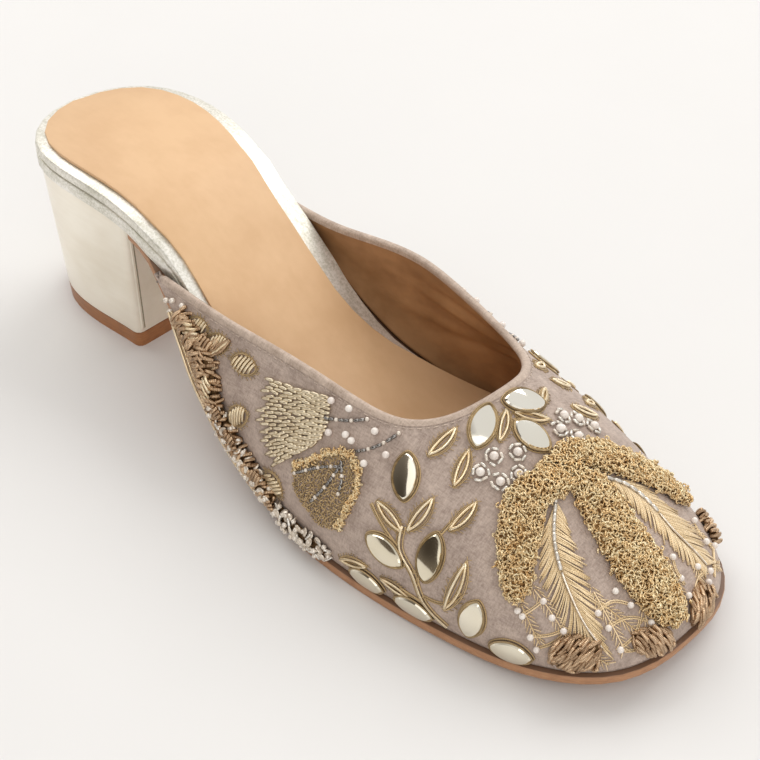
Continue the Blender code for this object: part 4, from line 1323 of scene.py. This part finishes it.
# (along, rise) of both ends of the fan's rows, of the dome's outline and of its rim, lateral
FAN_OUTER = ((-146.0, 0.78), (-145.0, 0.61), (-139.5, 0.40), (-133.0, 0.33))
FAN_INNER = ((-126.0, 0.93), (-124.0, 0.86), (-122.5, 0.77), (-122.0, 0.69))
DOME = (
    (-127.0, 0.43), (-125.0, 0.49), (-120.0, 0.61), (-115.0, 0.70), (-110.0, 0.74),
    (-106.0, 0.71), (-103.0, 0.66), (-102.0, 0.60), (-102.0, 0.51), (-103.0, 0.43),
    (-105.0, 0.29), (-112.0, 0.24), (-119.0, 0.28), (-124.0, 0.33), (-125.5, 0.39),
)
DOME_RIM = ((-126.0, 0.45), (-120.0, 0.60), (-115.0, 0.69), (-110.0, 0.73), (-105.5, 0.70),
            (-103.0, 0.64), (-102.5, 0.52), (-104.0, 0.40), (-105.5, 0.31))
BUGLE_STEP = 3.1  # from one bugle to the next along a row of the fan


def make_fan(side_name, move):
    """Rows of bugles that spread out like a fan, each row half a bugle on from the last."""
    heap = Heap()
    outer = spline_path(move(FAN_OUTER), 1.12)
    inner = natural_spline(np.linspace(0, 1, len(FAN_INNER)), move(FAN_INNER))(
        np.linspace(0, 1, len(outer)))
    for row, (start, end) in enumerate(zip(inner, outer)):
        line, side, out, _ = between(start, end, 40)
        reach = np.linalg.norm(line[-1] - line[0])
        marks = np.arange(0.8 + BUGLE_STEP / 2 * (row % 2), reach, BUGLE_STEP)
        k = (marks / reach * (len(line) - 1)).round().astype(int)
        ahead = unit(np.broadcast_to(line[-1] - line[0], line.shape))
        ahead = unit(ahead - out * (ahead * out).sum(-1, keepdims=True))
        jitter = rng.normal(0, 0.1, len(k))[:, None]
        rods(heap, line[k] + side[k] * jitter + out[k] * 0.46, out[k],
             unit(ahead[k] + side[k] * jitter), length=2.7 + 0.5 * rng.random(len(k)),
             radius=0.47)
    heap.build(f"fan_bugles_{side_name}", GOLD_BUGLE)


def make_dome(side_name, move):
    """A dome filled with looped thread, under a rim of coils."""
    fill, rim = Heap(), Heap()
    places, _, _, out = face_at(*inside(move(DOME), 0.62).T)
    curls(fill, places + out * 0.12, out, radius=0.50, wire_radius=0.17, lean=0.7, arc=4.2)
    edge, side, out = laid_path(move(DOME_RIM), 0.5)
    for k in range(3):
        spread = rng.normal(0, 0.55, len(edge))[:, None]
        curls(rim, edge + side * spread + out * (0.3 + 0.2 * k), out, radius=0.55,
              wire_radius=0.25, lean=1.0)
    fill.build(f"dome_stitches_{side_name}", DULL_THREAD)
    rim.build(f"dome_rim_{side_name}", COIL)


for side_name, move in SIDES:
    make_fan(side_name, move)
    make_dome(side_name, move)

# ---- Feathers and tendrils on the toe ----------------------------------------------------------

# (along, rise) of a feather's spine, and of the border on either side of it
FEATHER_LATERAL = (
    ((-22.0, 0.66), (-26.5, 0.61), (-30.0, 0.55), (-31.8, 0.47), (-32.0, 0.38), (-31.3, 0.28),
     (-29.0, 0.17)),
    ((-24.0, 0.66), (-32.0, 0.585), (-36.5, 0.51), (-38.2, 0.44), (-38.0, 0.35), (-35.5, 0.23),
     (-31.0, 0.13)),
    ((-20.0, 0.655), (-22.5, 0.605), (-24.0, 0.55), (-25.0, 0.47), (-26.0, 0.38),
     (-27.5, 0.27), (-27.5, 0.12)),
)
FEATHER_MEDIAL = (
    ((6.0, 0.62), (10.0, 0.58), (12.0, 0.53), (11.8, 0.46), (10.6, 0.39), (10.8, 0.32),
     (11.2, 0.22)),
    ((8.0, 0.62), (16.0, 0.55), (18.6, 0.47), (19.0, 0.40), (18.4, 0.33), (17.4, 0.27),
     (15.0, 0.18)),
    ((4.5, 0.61), (5.6, 0.57), (5.0, 0.51), (5.6, 0.44), (5.6, 0.37), (6.0, 0.30),
     (8.6, 0.20)),
)
# (along, rise) of curling double threads
TENDRILS = (
    ((-27.0, 0.31), (-22.0, 0.33), (-18.0, 0.30)), ((-26.0, 0.25), (-20.0, 0.26), (-15.0, 0.21)),
    ((-25.0, 0.15), (-20.0, 0.19), (-17.0, 0.24)), ((-47.0, 0.29), (-43.0, 0.33), (-40.0, 0.36)),
    ((-46.0, 0.20), (-41.0, 0.22), (-37.0, 0.25)), ((-45.0, 0.14), (-41.0, 0.18), (-38.0, 0.22)),
    ((3.0, 0.34), (1.0, 0.30), (0.5, 0.24)), ((11.0, 0.19), (7.0, 0.22), (3.0, 0.20)),
    ((23.0, 0.30), (20.0, 0.26), (20.0, 0.20)), ((-24.0, 0.13), (-20.0, 0.12), (-17.0, 0.16)),
    ((12.0, 0.14), (17.0, 0.17), (22.0, 0.17)), ((-14.0, 0.30), (-13.0, 0.24), (-15.0, 0.18)),
)
# (along, rise) of stitched stems that carry short side stitches
SPRAYS = (
    ((-46.7, 0.34), (-45.6, 0.27), (-44.0, 0.17)), ((-41.8, 0.40), (-39.1, 0.33), (-36.4, 0.20)),
    ((-25.6, 0.38), (-25.0, 0.29), (-23.9, 0.13)), ((-25.0, 0.34), (-21.5, 0.26), (-18.5, 0.18)),
    ((0.4, 0.35), (-1.2, 0.29), (-1.7, 0.22)), ((-15.0, 0.27), (-15.8, 0.20), (-15.5, 0.14)),
    ((8.6, 0.28), (6.9, 0.22), (4.8, 0.16)), ((-32.6, 0.23), (-31.5, 0.15), (-28.3, 0.07)),
    ((19.0, 0.33), (20.5, 0.26), (21.0, 0.19)), ((14.0, 0.18), (16.0, 0.15), (18.0, 0.11)),
)


def make_spray(heap, rows):
    """A stitched stem with short slanted stitches on both sides."""
    strand(heap, rows, radius=0.2, height=0.2)
    points, side, out = laid_path(rows, 1.25)
    ahead = np.cross(side, out)
    for way in (1.0, -1.0):
        slant = way * (0.6 + rng.normal(0, 0.15, len(points)))
        stitch = turned(ahead, side, slant)
        rods(heap, points + side * way * 0.9 + out * 0.2, out, stitch, length=2.3,
             radius=0.17, bow=0.1, rings=3, sides=4)


def make_feather(barbs, spines, glass, feather):
    """Arched barbs from the spine to both borders, a raised spine and glass along its root."""
    spine_rows, left_rows, right_rows = feather
    sweep = 0.17  # how far on, as a share of the spine, a barb meets the border
    path = spline_path(spine_rows, 0.50)
    share = np.linspace(0, 1, len(path))
    knots = np.linspace(0, 1, len(spine_rows))
    for border_rows in (left_rows, right_rows):
        border = natural_spline(knots, border_rows)
        for k in range(2, len(path)):
            tip = border(min(1.0, share[k] + sweep + rng.normal(0, 0.012)))
            tip = path[k] + (tip - path[k]) * (1.0 + rng.normal(0, 0.09))
            line, side, out, t = between(path[k], tip, 6)
            arch = np.sin(np.pi * t)[:, None]
            barbs.add(*tubes(line + out * (0.26 + 0.40 * arch), out, 0.24, 4))
    points, side, out = laid_path(spine_rows, 0.6)
    split = len(points) // 2
    lift = points + out * 0.75
    spines.add(*tubes(lift[split - 1:], out[split - 1:], 0.34, 6))
    ahead = np.cross(side, out)
    rods(glass, lift[1:split:4], out[1:split:4], ahead[1:split:4], length=2.3, radius=0.58)


def make_feathers():
    """Two feathers on the toe, with tendrils and sprays beside them."""
    barbs, spines, glass, tendrils = Heap(), Heap(), Heap(), Heap()
    for feather in (FEATHER_LATERAL, FEATHER_MEDIAL):
        make_feather(barbs, spines, glass, feather)
    for rows in TENDRILS:
        strand(tendrils, rows, radius=0.22, height=0.2)
        strand(tendrils, rows, radius=0.2, height=0.18, sides=4, shift=0.5)
    for rows in SPRAYS:
        make_spray(tendrils, rows)
    barbs.build("feather_barbs", GOLD_THREAD)
    spines.build("feather_spines", SILVER_COIL)
    glass.build("feather_glass", SILVER)
    tendrils.build("toe_tendrils", GOLD_THREAD)


make_feathers()

# ---- Floor, lights and camera ----------------------------------------------------------------


def aimed(kind, name, place, target, **settings):
    """A lamp or camera at a place in millimetres, turned towards its target."""
    data = (bpy.data.cameras.new(name) if kind == "CAMERA"
            else bpy.data.lights.new(name, kind))
    for key, value in settings.items():
        setattr(data, key, value)
    thing = bpy.data.objects.new(name, data)
    thing.location = Vector(place) * MM
    aim = (Vector(target) - Vector(place)).to_track_quat("-Z", "Y")
    thing.rotation_euler = aim.to_euler()
    bpy.context.scene.collection.objects.link(thing)
    return thing


FLOOR_REACH = 5.0  # metres from the middle to each edge


def make_floor():
    """A wide pale floor."""
    f = Finish("pale_floor", Specular_IOR_Level=0.2)
    speck = f.noise(f.place(), 0.02, 3.0)
    f.set(Base_Color=f.blend(speck, (0.73, 0.72, 0.707), (0.75, 0.74, 0.727)),
          Roughness=0.72 + speck * 0.08)
    mesh = bpy.data.meshes.new("floor")
    mesh.from_pydata([(x * FLOOR_REACH, y * FLOOR_REACH, 0)
                      for x, y in ((-1, -1), (1, -1), (1, 1), (-1, 1))], [], [(0, 1, 2, 3)])
    mesh.materials.append(f.material)
    floor = bpy.data.objects.new("floor", mesh)
    bpy.context.scene.collection.objects.link(floor)


make_floor()

# The camera's place, the point it looks at, its roll and its lens.
CAMERA_PLACE = (229.4, -238.4, 308.1)
CAMERA_TARGET = (10.4, 3.3, 24.0)
CAMERA_ROLL = 1.7
CAMERA_LENS = 74.2

camera = aimed("CAMERA", "camera", CAMERA_PLACE, CAMERA_TARGET, lens=CAMERA_LENS,
               clip_start=0.01, clip_end=10.0)
camera.rotation_euler.rotate_axis("Z", math.radians(CAMERA_ROLL))
bpy.context.scene.camera = camera

# (name, place in millimetres, power, width in metres) of the lamps
LAMPS = (("window", (-120.0, 1280.0, 1440.0), 15.0, 1.2),
         ("fill", (840.0, -1120.0, 1040.0), 11.0, 1.8),
         ("back_light", (-900.0, 150.0, 1200.0), 6.0, 1.0))
LAMP_TARGET = (0, 0, 20)
LAMP_COLOUR = (1.0, 0.985, 0.965)
for lamp_name, place, power, width in LAMPS:
    aimed("AREA", lamp_name, place, LAMP_TARGET, energy=power, size=width, color=LAMP_COLOUR)

# (place, shade) of the tent, from the side away from its dark opening to the opening
TENT_SHADES = ((0.0, 1.0), (0.70, 0.95), (0.88, 0.28), (1.0, 0.08))
TENT_OPENING = (-0.17, -0.89, 0.42)  # the way towards it
TENT_STRENGTH = 0.76


def make_studio():
    """A white tent round the shoe with one dark opening on the lateral side."""
    world = bpy.data.worlds.new("studio")
    world.use_nodes = True
    tree = world.node_tree
    where = tree.nodes.new("ShaderNodeTexCoord")
    toward = tree.nodes.new("ShaderNodeVectorMath")
    toward.operation = "DOT_PRODUCT"
    toward.inputs[1].default_value = TENT_OPENING
    tent = tree.nodes.new("ShaderNodeValToRGB")
    # Darker shades are warmer.
    fill_ramp(tent.color_ramp, [(place, (shade, shade * (0.80 + 0.19 * shade),
                                         shade * (0.62 + 0.36 * shade)))
                                for place, shade in TENT_SHADES])
    tree.links.new(where.outputs["Generated"], toward.inputs[0])
    tree.links.new(toward.outputs["Value"], tent.inputs[0])
    tree.links.new(tent.outputs[0], tree.nodes["Background"].inputs["Color"])
    tree.nodes["Background"].inputs["Strength"].default_value = TENT_STRENGTH
    bpy.context.scene.world = world


make_studio()
bpy.context.scene.view_settings.view_transform = "Standard"
